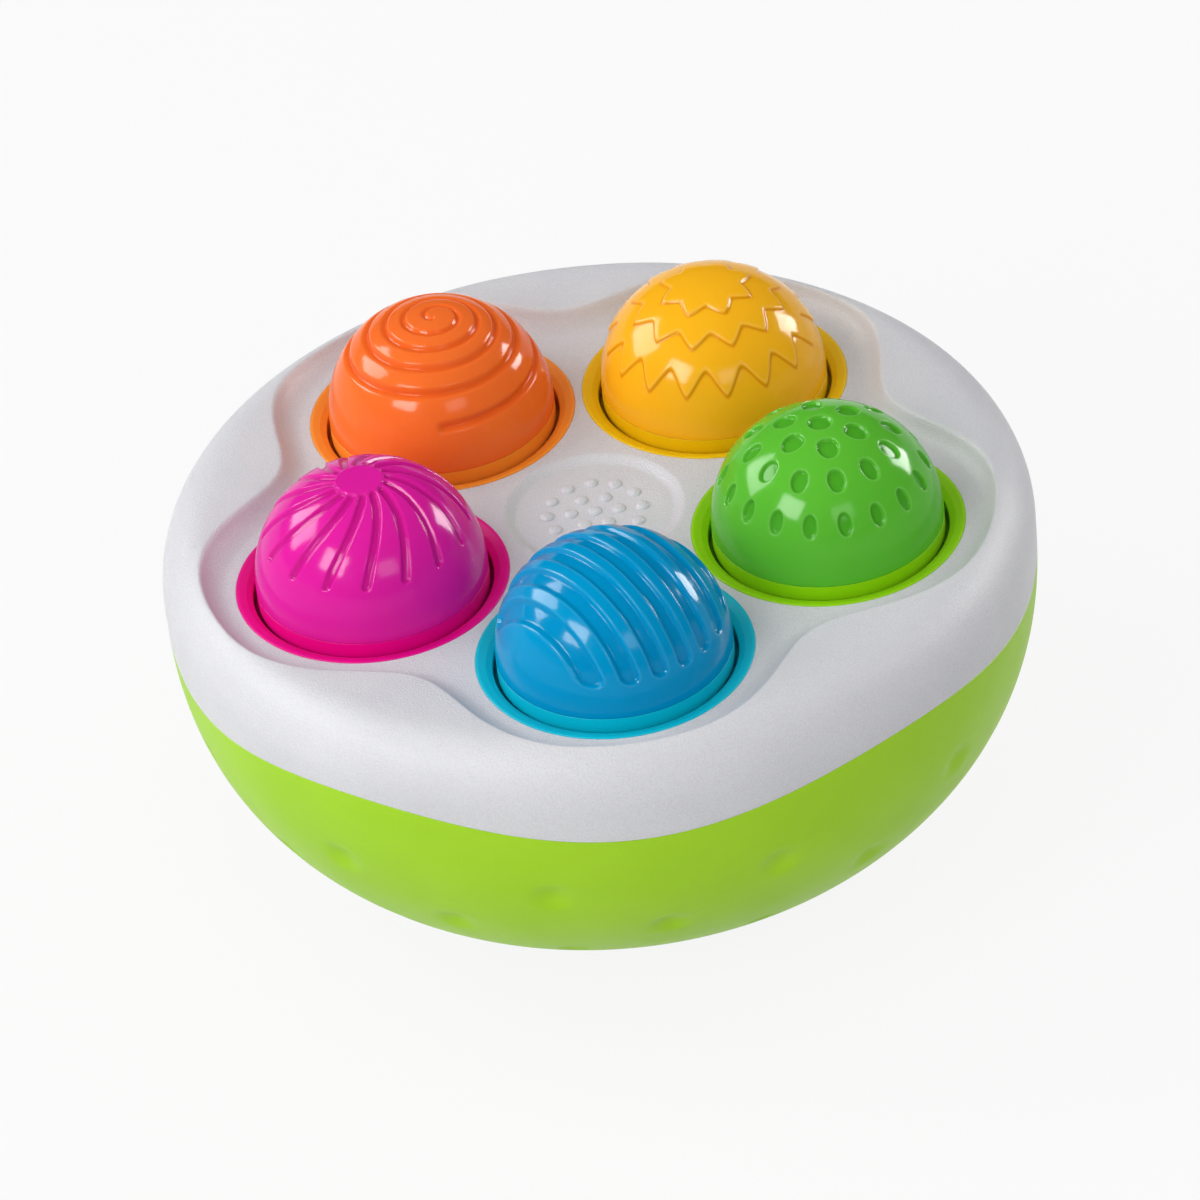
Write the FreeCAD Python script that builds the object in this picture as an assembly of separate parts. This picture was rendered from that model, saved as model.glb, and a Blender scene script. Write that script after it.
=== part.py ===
import FreeCAD, Part
import math
import os

# Wobble base with five lift-out spinning pegs. Millimetres, +Z up.
# The origin is the middle of the small flat that the base stands on.

V = FreeCAD.Vector
AXIS = V(0, 0, 1)
ORIGIN = V(0, 0, 0)

# Base: one body of revolution, parted into a white shell and a green bowl
BODY_R = 120.4              # widest radius of the base
WALL = 3.0                  # moulded wall of the shell and the bowl
FLOOR_EXTRA = 0.9           # how much thicker the bowl is at its lowest point
BOWL_TOP_Z = 88.7           # level at which the bowl starts to round in
BOWL_DEPTH = 89.8           # from that level to the lowest point of the curve
BOWL_POWER = 2.3            # exponent of the bowl's superellipse section
DECK_Z = 105.5              # floor of the five-lobed pocket
DECK_T = 4.0                # thickness of that floor
RIM_Z = DECK_Z + 5.6        # highest line of the rim
RIM_R = 106.6               # radius of that line
SHOULDER_Z = 94.3           # level at which the rim's shoulder turns vertical
LAND_IN_R = 78.0            # inner end of the rim's land, inside the pocket
LAND_DROP = 1.2             # how far the land falls from the rim to that end

# Wavy parting line between the shell and the bowl
SEAM_Z = DECK_Z - 17.2
SEAM_WAVE = 3.25
LIP_T = 2.0                 # bowl's inner lip that centres the shell
LIP_GAP = 0.25
LIP_LOW = 8.0               # lip's reach below the line's lowest point
LIP_HIGH = 4.0              # and above its middle level

# Pegs: five on a circle, one at the front
PEG_COUNT = 5
PEG_STEP = 360.0 / PEG_COUNT
FRONT_AZIMUTH = -90.0
PEG_RING_R = 65.5
COLOURS = ["blue", "green", "yellow", "orange", "magenta"]

# Pocket outline: radius = MEAN + FIRST cos 5a + SECOND cos 10a, a from a peg
POCKET_MEAN = 101.7
POCKET_FIRST = 10.9
POCKET_SECOND = -2.2
POCKET_WALL_H = 3.8         # height of the pocket's wall at the outline
POCKET_SWEEP = 7.0          # radius of the wall's hollow foot, tangent to the floor
POCKET_WALL_STEPS = 4       # levels between the floor and the outline
POCKET_SPARE_H = 4.5        # how far the cutter carries on above the outline
OUTLINE_STEPS = 90

# Round dish in the middle of the deck, with a ring of raised beads
DISH_R = 25.0
DISH_FLOOR_R = 23.4
DISH_DEPTH = 1.6
BEAD_R = 2.0
BEAD_H = 1.0
BEAD_RINGS = [(0.0, 1), (6.6, 6), (13.2, 12)]

# Socket: coloured cup with a dished flange let into the deck
FLANGE_R = 37.4
FLANGE_T = 2.0
FLANGE_PROUD = 0.2          # heights of sockets and pegs start from the deck
FLANGE_BEVEL = 0.4
CREST_R = 36.6              # inner end of the flange's level crest
SLOPE_R = 34.2              # a point half way down the dished slope
SLOPE_Z = -0.7
RECESS_GAP = 0.1
HOLE_R = 35.6
MOUTH_R = 32.25             # leaves 0.5 mm round the peg
MOUTH_TOP = -1.8
MOUTH_LOW = -6.5
CUP_R = 34.3                # outside of the cup at its lower corner
CUP_LOW = -7.2
NECK_LOW = -2.4
FLOOR_R = 31.0              # outer end of the socket's conical floor
FLOOR_Z = -8.2
FLOOR_IN_R = 12.5
FLOOR_SLOPE = 0.5
FLOOR_T = 2.5
TUBE_BORE_R = 5.05          # tube that takes the peg's tail
TUBE_R = 7.2
TUBE_RIM_R = 9.6
TUBE_TOP = -16.5
TUBE_END = -33.0
TUBE_END_T = 2.0
BARB_COUNT = 4
BARB_ANGLE = 12.0
BARB_R = 36.4
BARB_TIP = 0.6              # height of a barb's upright edge
BARB_H = 3.0
BARB_GAP = 0.3              # below the deck

# Peg: dome on a conical skirt, turning on a spindle
DOME_R = 31.75
DOME_H = 31.8
DOME_POWER = 2.08
DOME_WALL = 2.4
DOME_FOOT = 2.0             # dome's lower edge above the deck
BAND_LOW = -2.0             # lower end of the skirt's upright band
CONE_R = 30.6               # widest end of the skirt's cone
CONE_Z = -3.2
CONE_SLOPE = 0.5
CONE_T = 2.5
SPIGOT_R = 28.8
SPIGOT_IN_R = 26.7
SPIGOT_TOP = 5.0
HUB_R = 9.0
HUB_BORE_R = 6.1
HUB_TOP = -2.5
HUB_LOW = -14.0
HUB_FLARE = 1.5             # height of the cone's steep end at the hub
JOURNAL_R = 6.03
JOURNAL_TOP = -2.2
PILOT_DEPTH = 10.5          # of the blind hole in the journal
COLLAR_R = 9.0
COLLAR_TOP = -14.2
COLLAR_LOW = -16.4
TAIL_R = 4.95
TAIL_ROUND = 3.5
TAIL_LOW = -30.0

# Ballast and fasteners
BALLAST_R = 40.0
BALLAST_LOW = 10.0
BALLAST_T = 14.0
BALLAST_DRAFT = 2.0         # bevel of the casting's lower edge
BALLAST_EDGE = 1.0
BALLAST_SCREW_R = 26.0
BALLAST_SCREWS = 3
BALLAST_PILOT_LOW = 2.5
BOSS_R = 4.5
PILOT_R = 1.5
CLEARANCE_R = 1.75
SCREW_RING_R = 84.0
SCREW_HEAD_R = 3.0
SCREW_HEAD_H = 2.2
SCREW_POINT = 1.5           # length of the tapered point
WASHER_R = 3.5
WASHER_T = 0.5
BALLAST_WASHER_R = 4.2
BALLAST_WASHER_T = 0.8
HUB_SCREW_HEAD_R = 3.5
HUB_SCREW_HEAD_H = 1.8
HUB_WASHER_R = 8.0
HUB_WASHER_T = 1.2
HUB_SCREW_LENGTH = 10.0
WELL_R = 4.6
WELL_WALL = 2.0
WELL_TOP = 62.0
WELL_FLOOR = 2.5
SCREW_LENGTH = 16.0

# Shallow round dimples round the bowl, in staggered rings
DIMPLE_R = 5.2              # radius at the surface of the bowl
DIMPLE_DEPTH = 0.9
DIMPLE_COUNT = 12
DIMPLE_FIRST = -12.0        # azimuth of the first, from the front peg
DIMPLE_LEVELS = [64.8, 47.8, 30.8]


def polar(radius, azimuth, z=0.0):
    """Point at a radius and an azimuth in degrees."""
    a = math.radians(azimuth)
    return V(radius * math.cos(a), radius * math.sin(a), z)


def spline(points, closed=False):
    """Smooth edge through points."""
    curve = Part.BSplineCurve()
    curve.interpolate(points, PeriodicFlag=closed)
    return curve.toShape()


def lines(points):
    """Straight edges from point to point."""
    return [Part.makeLine(a, b) for a, b in zip(points, points[1:])]


def section(pairs):
    """(radius, z) pairs as points of the XZ half plane."""
    return [V(r, 0, z) for r, z in pairs]


def revolve(edges):
    """Solid of revolution about Z from a closed row of edges."""
    wire = Part.Wire(Part.__sortEdges__(edges))
    solid = Part.Face(wire).revolve(ORIGIN, AXIS, 360)
    return solid if solid.Volume > 0 else solid.reversed()


def turned(pairs):
    """Solid of revolution from a closed polygon of (radius, z) pairs."""
    points = section(pairs)
    return revolve(lines(points + points[:1]))


def cylinder(radius, low, high, centre=ORIGIN):
    """Upright cylinder between two levels."""
    return Part.makeCylinder(radius, high - low, V(centre.x, centre.y, low))


def superellipse(half_w, half_h, power, z0, t0, t1, steps=24):
    """Points of a superellipse quadrant, t from 0 (widest) to 90 (pole)."""
    points = []
    for i in range(steps + 1):
        t = math.radians(t0 + (t1 - t0) * i / steps)
        c = max(math.cos(t), 0.0) ** (2.0 / power)
        s = max(math.sin(t), 0.0) ** (2.0 / power)
        points.append(V(half_w * c, 0, z0 + half_h * s))
    return points


def bowl_radius(z, half_w=BODY_R, depth=BOWL_DEPTH):
    """Radius of the bowl's curve at a level below its widest line."""
    y = (BOWL_TOP_Z - z) / depth
    return half_w * (1.0 - y ** BOWL_POWER) ** (1.0 / BOWL_POWER)


def peg_azimuths():
    """Azimuths of the five pegs."""
    return [FRONT_AZIMUTH + k * PEG_STEP for k in range(PEG_COUNT)]


def at_pegs(shape):
    """Copies of a deck-level shape at the five peg places."""
    return [placed(shape, a) for a in peg_azimuths()]


def placed(shape, azimuth):
    """Copy of a shape drawn about the origin, moved to a peg's place."""
    copy = shape.copy()
    copy.translate(polar(PEG_RING_R, azimuth, DECK_Z))
    return copy


def wave_level(azimuth):
    """Level of the wavy parting line at an azimuth."""
    a = math.radians(PEG_COUNT * (azimuth - FRONT_AZIMUTH))
    return SEAM_Z - SEAM_WAVE * math.cos(a)


def wave_edge(radius):
    """Closed wavy edge on a cylinder."""
    step = 360.0 / OUTLINE_STEPS
    points = [polar(radius, k * step, wave_level(k * step)) for k in range(OUTLINE_STEPS)]
    return spline(points, closed=True)


def below_seam():
    """Solid of everything under the wavy parting surface."""
    margin = 10.0
    r_in, r_out, low = BODY_R - 2.0 * margin, BODY_R + margin, -margin
    core = cylinder(r_in + margin / 2.0, low, SEAM_Z - SEAM_WAVE - margin / 2.0)
    inner, outer = wave_edge(r_in), wave_edge(r_out)
    foot_in = Part.makeCircle(r_in, V(0, 0, low))
    foot_out = Part.makeCircle(r_out, V(0, 0, low))
    pairs = [(inner, outer), (outer, foot_out), (foot_out, foot_in), (foot_in, inner)]
    faces = [Part.makeRuledSurface(a, b) for a, b in pairs]
    ring = Part.makeSolid(Part.makeShell(faces))
    ring = ring if ring.Volume > 0 else ring.reversed()
    return ring.fuse(core)


def pocket_outline(out, z):
    """Five-lobed closed wire at a level, offset outwards along its own normal."""
    points = []
    for k in range(OUTLINE_STEPS):
        azimuth = k * 360.0 / OUTLINE_STEPS
        a = math.radians(PEG_COUNT * (azimuth - FRONT_AZIMUTH))
        r = POCKET_MEAN + POCKET_FIRST * math.cos(a) + POCKET_SECOND * math.cos(2 * a)
        swing = PEG_COUNT * (POCKET_FIRST * math.sin(a) + 2 * POCKET_SECOND * math.sin(2 * a))
        points.append(polar(r + out * math.hypot(r, swing) / r, azimuth, z))
    return Part.Wire(spline(points, closed=True))


def pocket_wall():
    """(distance out of the outline, height) pairs from the floor up the pocket's wall."""
    reach = math.sqrt(POCKET_SWEEP ** 2 - (POCKET_SWEEP - POCKET_WALL_H) ** 2)
    slope = reach / (POCKET_SWEEP - POCKET_WALL_H)
    pairs = []
    for k in range(POCKET_WALL_STEPS + 1):
        out = reach * k / POCKET_WALL_STEPS
        pairs.append((out - reach, POCKET_SWEEP - math.sqrt(POCKET_SWEEP ** 2 - out ** 2)))
    pairs.append((POCKET_SPARE_H / slope, POCKET_WALL_H + POCKET_SPARE_H))
    return pairs


def pocket_block(drop):
    """Solid that fills the pocket above its floor, lowered by drop."""
    low = DECK_Z - drop
    return Part.makeLoft([pocket_outline(out, low + high) for out, high in pocket_wall()], True, True)


def outer_body():
    """Solid inside the whole outer surface of the base."""
    flat_r = bowl_radius(0.0)
    y_flat = BOWL_TOP_Z / BOWL_DEPTH
    t_flat = math.degrees(math.asin(y_flat ** (BOWL_POWER / 2.0)))
    bowl = superellipse(BODY_R, -BOWL_DEPTH, BOWL_POWER, BOWL_TOP_Z, 0.0, t_flat)
    bowl[-1] = V(flat_r, 0, 0)
    shoulder = superellipse(BODY_R - RIM_R, RIM_Z - SHOULDER_Z, 2.0, SHOULDER_Z, 0.0, 90.0, 12)
    shoulder = [p + V(RIM_R, 0, 0) for p in shoulder]
    land_mid_r = (RIM_R + LAND_IN_R) / 2.0
    land = Part.Arc(shoulder[-1], V(land_mid_r, 0, RIM_Z - LAND_DROP / 4.0),
                    V(LAND_IN_R, 0, RIM_Z - LAND_DROP)).toShape()
    close = section([(LAND_IN_R, RIM_Z - LAND_DROP), (0, RIM_Z - LAND_DROP), (0, 0), (flat_r, 0)])
    edges = [spline(bowl), Part.makeLine(bowl[0], shoulder[0]), spline(shoulder), land]
    return revolve(edges + lines(close))


def inner_space():
    """Solid that fills the hollow of the base, below the pocket's floor."""
    half_w = BODY_R - WALL
    depth = BOWL_DEPTH - WALL - FLOOR_EXTRA
    bowl = superellipse(half_w, -depth, BOWL_POWER, BOWL_TOP_Z, 0.0, 90.0)
    rise = RIM_Z - WALL - SHOULDER_Z
    shoulder = superellipse(half_w - RIM_R, rise, 2.0, SHOULDER_Z, 0.0, 90.0, 12)
    shoulder = [p + V(RIM_R, 0, 0) for p in shoulder]
    bowl[-1] = V(0, 0, BOWL_TOP_Z - depth)
    close = section([(RIM_R, SHOULDER_Z + rise), (0, SHOULDER_Z + rise), (0, BOWL_TOP_Z - depth)])
    edges = [spline(bowl), Part.makeLine(bowl[0], shoulder[0]), spline(shoulder)]
    whole = revolve(edges + lines(close))
    return whole.cut(pocket_block(DECK_T))


def beads():
    """Raised beads of the dish: one in the middle and two rings."""
    floor = DECK_Z - DISH_DEPTH
    made = []
    for ring_r, count in BEAD_RINGS:
        for k in range(count):
            centre = polar(ring_r, k * 360.0 / count)
            made.append(cylinder(BEAD_R, floor - 0.2, floor + BEAD_H, centre))
    return made


def screw_azimuths():
    """Azimuths half way between the pegs."""
    return [a + PEG_STEP / 2.0 for a in peg_azimuths()]


def upper_shell(hollow, low_block):
    """White shell: rim, pocket, deck with five holes, dish and bosses."""
    shell = hollow.cut(low_block)
    hole = cylinder(HOLE_R, -DECK_T - 5.0, 1.0)
    recess = cylinder(FLANGE_R + RECESS_GAP, -FLANGE_T + FLANGE_PROUD, 1.0)
    shell = shell.cut(Part.makeCompound(at_pegs(hole.fuse(recess))))
    bosses = [cylinder(BOSS_R, WELL_TOP, DECK_Z - 1.0, polar(SCREW_RING_R, a))
              for a in screw_azimuths()]
    shell = shell.fuse(bosses + beads())
    pilots = [cylinder(PILOT_R, WELL_TOP - 1.0, WELL_TOP + SCREW_LENGTH, polar(SCREW_RING_R, a))
              for a in screw_azimuths()]
    return shell.cut(pilots)


def dish_space():
    """Solid of the round dish, a little conical."""
    low = DECK_Z - DISH_DEPTH
    slope = (DISH_R - DISH_FLOOR_R) / DISH_DEPTH
    top = 1.0
    pairs = [(0, low), (DISH_FLOOR_R, low), (DISH_R + slope * top, DECK_Z + top), (0, DECK_Z + top)]
    return turned(pairs)


def dimples():
    """Balls that press the dimples into the bowl's surface."""
    ball_r = (DIMPLE_R ** 2 + DIMPLE_DEPTH ** 2) / (2.0 * DIMPLE_DEPTH)
    balls = []
    step = 360.0 / DIMPLE_COUNT
    for row, z in enumerate(DIMPLE_LEVELS):
        r = bowl_radius(z)
        y = (BOWL_TOP_Z - z) / BOWL_DEPTH
        x = r / BODY_R
        normal = V(x ** (BOWL_POWER - 1) / BODY_R, 0, -y ** (BOWL_POWER - 1) / BOWL_DEPTH)
        normal.normalize()
        centre = V(r, 0, z) + normal * (ball_r - DIMPLE_DEPTH)
        first = FRONT_AZIMUTH + DIMPLE_FIRST + step * (row % 2) / 2.0
        for k in range(DIMPLE_COUNT):
            balls.append(Part.makeSphere(ball_r, polar(centre.x, first + k * step, centre.z)))
    return balls


def lower_bowl(hollow, low_block, outer):
    """Green bowl: wall, lip, screw wells, ballast bosses and dimples."""
    bowl = hollow.common(low_block)
    lip_out = BODY_R - WALL - LIP_GAP
    lip_in = lip_out - LIP_T
    lip_low, lip_high = SEAM_Z - SEAM_WAVE - LIP_LOW, SEAM_Z + LIP_HIGH
    root_r, root_high = BODY_R - WALL + 0.6, SEAM_Z - SEAM_WAVE - 1.0
    lip = turned([(lip_in, lip_low), (root_r, lip_low), (root_r, root_high),
                  (lip_out, root_high), (lip_out, lip_high), (lip_in, lip_high)])
    wells = [cylinder(WELL_R + WELL_WALL, 0.0, WELL_TOP, polar(SCREW_RING_R, a))
             for a in screw_azimuths()]
    seats = [cylinder(BOSS_R, 0.5, BALLAST_LOW, polar(BALLAST_SCREW_R, a))
             for a in ballast_azimuths()]
    bowl = bowl.fuse([part.common(outer) for part in wells + seats] + [lip])
    cuts = []
    for a in screw_azimuths():
        centre = polar(SCREW_RING_R, a)
        cuts.append(cylinder(WELL_R, -1.0, WELL_TOP - WELL_FLOOR, centre))
        cuts.append(cylinder(CLEARANCE_R, 0.0, WELL_TOP + 1.0, centre))
    for a in ballast_azimuths():
        cuts.append(cylinder(PILOT_R, BALLAST_PILOT_LOW, BALLAST_LOW + 1.0, polar(BALLAST_SCREW_R, a)))
    return bowl.cut(cuts + dimples())


def ballast_azimuths():
    """Azimuths of the ballast's screws."""
    return [90.0 + k * 360.0 / BALLAST_SCREWS for k in range(BALLAST_SCREWS)]


def ballast_weight():
    """Cast disc that keeps the base upright."""
    top = BALLAST_LOW + BALLAST_T
    disc = turned([
        (0, BALLAST_LOW), (BALLAST_R - BALLAST_DRAFT, BALLAST_LOW),
        (BALLAST_R, BALLAST_LOW + BALLAST_DRAFT), (BALLAST_R, top - BALLAST_EDGE),
        (BALLAST_R - BALLAST_EDGE, top), (0, top)])
    holes = [cylinder(CLEARANCE_R, 0.0, 50.0, polar(BALLAST_SCREW_R, a)) for a in ballast_azimuths()]
    return disc.cut(holes)


def fastener(head_r, head_h, washer_r, washer_h, length):
    """Screw that points down from level 0, with a cross recess."""
    low = -length
    body = turned([
        (0, low), (PILOT_R * 0.3, low), (PILOT_R, low + SCREW_POINT), (PILOT_R, 0), (washer_r, 0),
        (washer_r, washer_h), (head_r, washer_h), (head_r, washer_h + head_h * 0.5),
        (head_r * 0.6, washer_h + head_h), (0, washer_h + head_h)])
    slot_l, slot_w, slot_h = head_r * 1.1, head_r * 0.25, head_h * 0.6
    top = washer_h + head_h
    slots = [Part.makeBox(a, b, slot_h + 1.0, V(-a / 2.0, -b / 2.0, top - slot_h))
             for a, b in ((slot_l, slot_w), (slot_w, slot_l))]
    return body.cut(slots)


def shell_screws():
    """Five screws that point up from the wells into the shell's bosses."""
    screw = fastener(SCREW_HEAD_R, SCREW_HEAD_H, WASHER_R, WASHER_T, SCREW_LENGTH)
    screw.rotate(ORIGIN, V(1, 0, 0), 180)
    made = []
    for a in screw_azimuths():
        copy = screw.copy()
        copy.translate(polar(SCREW_RING_R, a, WELL_TOP - WELL_FLOOR))
        made.append(copy)
    return Part.makeCompound(made)


def ballast_screws():
    """Screws that hold the ballast down on the bowl's bosses."""
    top = BALLAST_LOW + BALLAST_T
    length = top - BALLAST_PILOT_LOW - 0.5
    screw = fastener(SCREW_HEAD_R, SCREW_HEAD_H, BALLAST_WASHER_R, BALLAST_WASHER_T, length)
    made = []
    for a in ballast_azimuths():
        copy = screw.copy()
        copy.translate(polar(BALLAST_SCREW_R, a, top))
        made.append(copy)
    return Part.makeCompound(made)


def socket():
    """Coloured cup: dished flange, conical floor, tube and snap barbs."""
    flange_low = FLANGE_PROUD - FLANGE_T
    floor_in_z = FLOOR_Z - FLOOR_SLOPE * (FLOOR_R - FLOOR_IN_R)
    cup = turned([
        (FLANGE_R, flange_low), (FLANGE_R, FLANGE_PROUD - FLANGE_BEVEL),
        (FLANGE_R - FLANGE_BEVEL, FLANGE_PROUD), (CREST_R, FLANGE_PROUD), (SLOPE_R, SLOPE_Z),
        (MOUTH_R, MOUTH_TOP), (MOUTH_R, MOUTH_LOW), (FLOOR_R, FLOOR_Z),
        (FLOOR_IN_R, floor_in_z), (TUBE_RIM_R, floor_in_z),
        (TUBE_RIM_R, TUBE_TOP), (TUBE_BORE_R, TUBE_TOP), (TUBE_BORE_R, TUBE_END + TUBE_END_T),
        (0, TUBE_END + TUBE_END_T), (0, TUBE_END), (TUBE_R, TUBE_END),
        (TUBE_R, floor_in_z - FLOOR_T), (FLOOR_IN_R, floor_in_z - FLOOR_T),
        (FLOOR_R + 0.9, FLOOR_Z - FLOOR_T + 0.45), (CUP_R, CUP_LOW), (HOLE_R - 0.1, NECK_LOW),
        (HOLE_R - 0.1, flange_low)])
    root_r = (MOUTH_R + CUP_R) / 2.0
    barb_top = -DECK_T - BARB_GAP
    points = section([(root_r, barb_top), (BARB_R, barb_top), (BARB_R, barb_top - BARB_TIP),
                      (root_r, barb_top - BARB_H)])
    face = Part.Face(Part.Wire(lines(points + points[:1])))
    barbs = []
    for k in range(BARB_COUNT):
        barb = face.revolve(ORIGIN, AXIS, BARB_ANGLE)
        barb.rotate(ORIGIN, AXIS, k * 360.0 / BARB_COUNT)
        barbs.append(barb)
    return cup.fuse(barbs)


def dome():
    """Hollow dome, open below."""
    inner_r, inner_h = DOME_R - DOME_WALL, DOME_H - DOME_WALL
    outer = superellipse(DOME_R, DOME_H, DOME_POWER, DOME_FOOT, 0.0, 90.0)
    inner = superellipse(inner_r, inner_h, DOME_POWER, DOME_FOOT, 0.0, 90.0)
    outer[-1] = V(0, 0, DOME_FOOT + DOME_H)
    inner[-1] = V(0, 0, DOME_FOOT + inner_h)
    return revolve([spline(outer), spline(inner), Part.makeLine(outer[0], inner[0]),
                    Part.makeLine(outer[-1], inner[-1])])


def skirt():
    """Lower half of the peg: band, cone, hub and the spigot for the dome."""
    cone_low_r = CONE_R - (CONE_Z - (HUB_LOW + HUB_FLARE)) / CONE_SLOPE
    cone_in_z = CONE_Z - CONE_SLOPE * (CONE_R - SPIGOT_IN_R) + CONE_T
    hub_in_z = CONE_Z - CONE_SLOPE * (CONE_R - HUB_R) + CONE_T
    return turned([
        (DOME_R, DOME_FOOT), (DOME_R, BAND_LOW), (CONE_R, CONE_Z), (cone_low_r, HUB_LOW + HUB_FLARE),
        (HUB_R, HUB_LOW), (HUB_BORE_R, HUB_LOW), (HUB_BORE_R, HUB_TOP), (HUB_R, HUB_TOP),
        (HUB_R, hub_in_z), (SPIGOT_IN_R, cone_in_z), (SPIGOT_IN_R, SPIGOT_TOP),
        (SPIGOT_R, SPIGOT_TOP), (SPIGOT_R, DOME_FOOT)])


def spindle():
    """Spindle: journal, collar and a round-ended tail."""
    pilot_low = JOURNAL_TOP - PILOT_DEPTH
    tip_r = TAIL_R - TAIL_ROUND
    pairs = [(tip_r, TAIL_LOW), (0, TAIL_LOW), (0, pilot_low), (PILOT_R, pilot_low),
             (PILOT_R, JOURNAL_TOP), (JOURNAL_R, JOURNAL_TOP), (JOURNAL_R, COLLAR_TOP),
             (COLLAR_R, COLLAR_TOP), (COLLAR_R, COLLAR_LOW), (TAIL_R, COLLAR_LOW),
             (TAIL_R, TAIL_LOW + TAIL_ROUND)]
    points = section(pairs)
    slant = TAIL_ROUND * math.sqrt(0.5)
    middle = V(tip_r + slant, 0, TAIL_LOW + TAIL_ROUND - slant)
    return revolve(lines(points) + [Part.Arc(points[-1], middle, points[0]).toShape()])


def spindle_screw():
    """Screw with a wide washer face that keeps the hub on its journal."""
    screw = fastener(HUB_SCREW_HEAD_R, HUB_SCREW_HEAD_H, HUB_WASHER_R, HUB_WASHER_T,
                     HUB_SCREW_LENGTH)
    screw.translate(V(0, 0, JOURNAL_TOP))
    return screw


def main():
    os.makedirs("parts", exist_ok=True)
    outer = outer_body()
    hollow = outer.cut(pocket_block(0.0)).cut(dish_space()).cut(inner_space())
    low_block = below_seam()
    made = {
        "upper_shell": upper_shell(hollow, low_block),
        "lower_bowl": lower_bowl(hollow, low_block, outer),
        "ballast_weight": ballast_weight(),
        "ballast_screws": ballast_screws(),
        "shell_screws": shell_screws(),
    }
    peg_pieces = {"socket": socket(), "dome": dome(), "skirt": skirt(), "spindle": spindle(),
                  "spindle_screw": spindle_screw()}
    for colour, azimuth in zip(COLOURS, peg_azimuths()):
        for piece, shape in peg_pieces.items():
            made[colour + "_" + piece] = placed(shape, azimuth)
    for name, shape in made.items():
        box = shape.BoundBox
        print(f"{name:24s} valid {shape.isValid()} solids {len(shape.Solids)} "
              f"volume {shape.Volume / 1000.0:8.2f} cm3  z {box.ZMin:7.2f} to {box.ZMax:7.2f}")
        shape.exportStep(f"parts/{name}.step")


main()
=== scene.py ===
"""Wobble base with five lift-out spinning pegs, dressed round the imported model.

Lengths are in millimetres and angles in degrees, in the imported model's own frame.
They become metres and radians where a mesh, lamp or camera is made.
"""

import logging
import math
from abc import ABC, abstractmethod
from dataclasses import dataclass, field
from enum import Enum
from typing import Dict, List, Sequence, Tuple, Union

import bmesh
import bpy
from mathutils import Matrix, Vector


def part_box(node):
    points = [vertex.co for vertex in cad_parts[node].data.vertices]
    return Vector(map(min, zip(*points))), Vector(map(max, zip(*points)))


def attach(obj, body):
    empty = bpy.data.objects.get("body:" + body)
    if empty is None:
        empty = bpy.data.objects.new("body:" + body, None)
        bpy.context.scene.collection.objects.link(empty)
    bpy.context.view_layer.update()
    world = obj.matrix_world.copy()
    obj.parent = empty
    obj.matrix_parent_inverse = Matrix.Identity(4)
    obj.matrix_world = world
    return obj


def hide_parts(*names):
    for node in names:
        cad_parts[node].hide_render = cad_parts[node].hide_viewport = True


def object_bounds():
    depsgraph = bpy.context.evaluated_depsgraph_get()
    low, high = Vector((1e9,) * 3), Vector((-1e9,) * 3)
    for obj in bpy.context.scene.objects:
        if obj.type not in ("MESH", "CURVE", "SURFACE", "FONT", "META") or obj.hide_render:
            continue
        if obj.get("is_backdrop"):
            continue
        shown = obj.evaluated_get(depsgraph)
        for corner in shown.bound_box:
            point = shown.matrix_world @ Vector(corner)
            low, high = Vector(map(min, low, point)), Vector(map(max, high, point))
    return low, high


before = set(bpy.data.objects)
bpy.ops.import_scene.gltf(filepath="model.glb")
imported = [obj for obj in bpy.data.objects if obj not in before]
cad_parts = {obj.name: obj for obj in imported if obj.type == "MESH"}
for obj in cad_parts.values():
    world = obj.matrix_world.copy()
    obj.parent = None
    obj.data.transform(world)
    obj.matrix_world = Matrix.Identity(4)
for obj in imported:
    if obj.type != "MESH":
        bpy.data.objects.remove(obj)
cad_low, cad_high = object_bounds()

MM = 0.001
TAU = 2.0 * math.pi
FRONT = -90.0       # azimuth of the front peg
MERGE = 1e-7        # vertices nearer than this, in metres, share a place
CLEAR = 0.1         # how far a bevel's cutter stands past the surface it cuts
CREASE = 35.0       # edges sharper than this stay sharp on the shell and the bowl
ROW_SLACK = 0.01    # keeps a stretch's last row out of the next stretch
FLOAT = "NodeSocketFloat"
VECTOR = "NodeSocketVector"
COLOUR = "NodeSocketColor"
WHITE = (1.0, 1.0, 1.0, 1.0)
log = logging.getLogger("wobble_base")

Number = Union["Field", float, int]
Pair = Tuple[float, float]
Place = Tuple["Field", "Field"]


class Colour(Enum):
    """Peg colours, in the order of their places from the front peg."""

    BLUE = "blue"
    GREEN = "green"
    YELLOW = "yellow"
    ORANGE = "orange"
    MAGENTA = "magenta"


# Lobes of the pocket and waves of the seam, one at each peg
LOBES = float(len(Colour))


@dataclass(frozen=True)
class Pitting:
    """Fine relief of a surface: its cells, the share of finer noise, and its height."""

    cells_per_metre: float
    fine_share: float
    strength: float
    height_mm: float


class Grain(Enum):
    """Textures that a mould or a process leaves on a surface."""

    POLISHED = Pitting(260.0, 0.6, 0.05, 0.1)
    SATIN = Pitting(2600.0, 0.5, 0.12, 0.05)
    SOFT_SATIN = Pitting(1500.0, 0.5, 0.2, 0.08)
    SPARK = Pitting(2100.0, 0.35, 0.8, 0.14)
    PLATED = Pitting(2400.0, 0.5, 0.1, 0.02)
    CAST = Pitting(700.0, 0.5, 0.6, 0.2)


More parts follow.
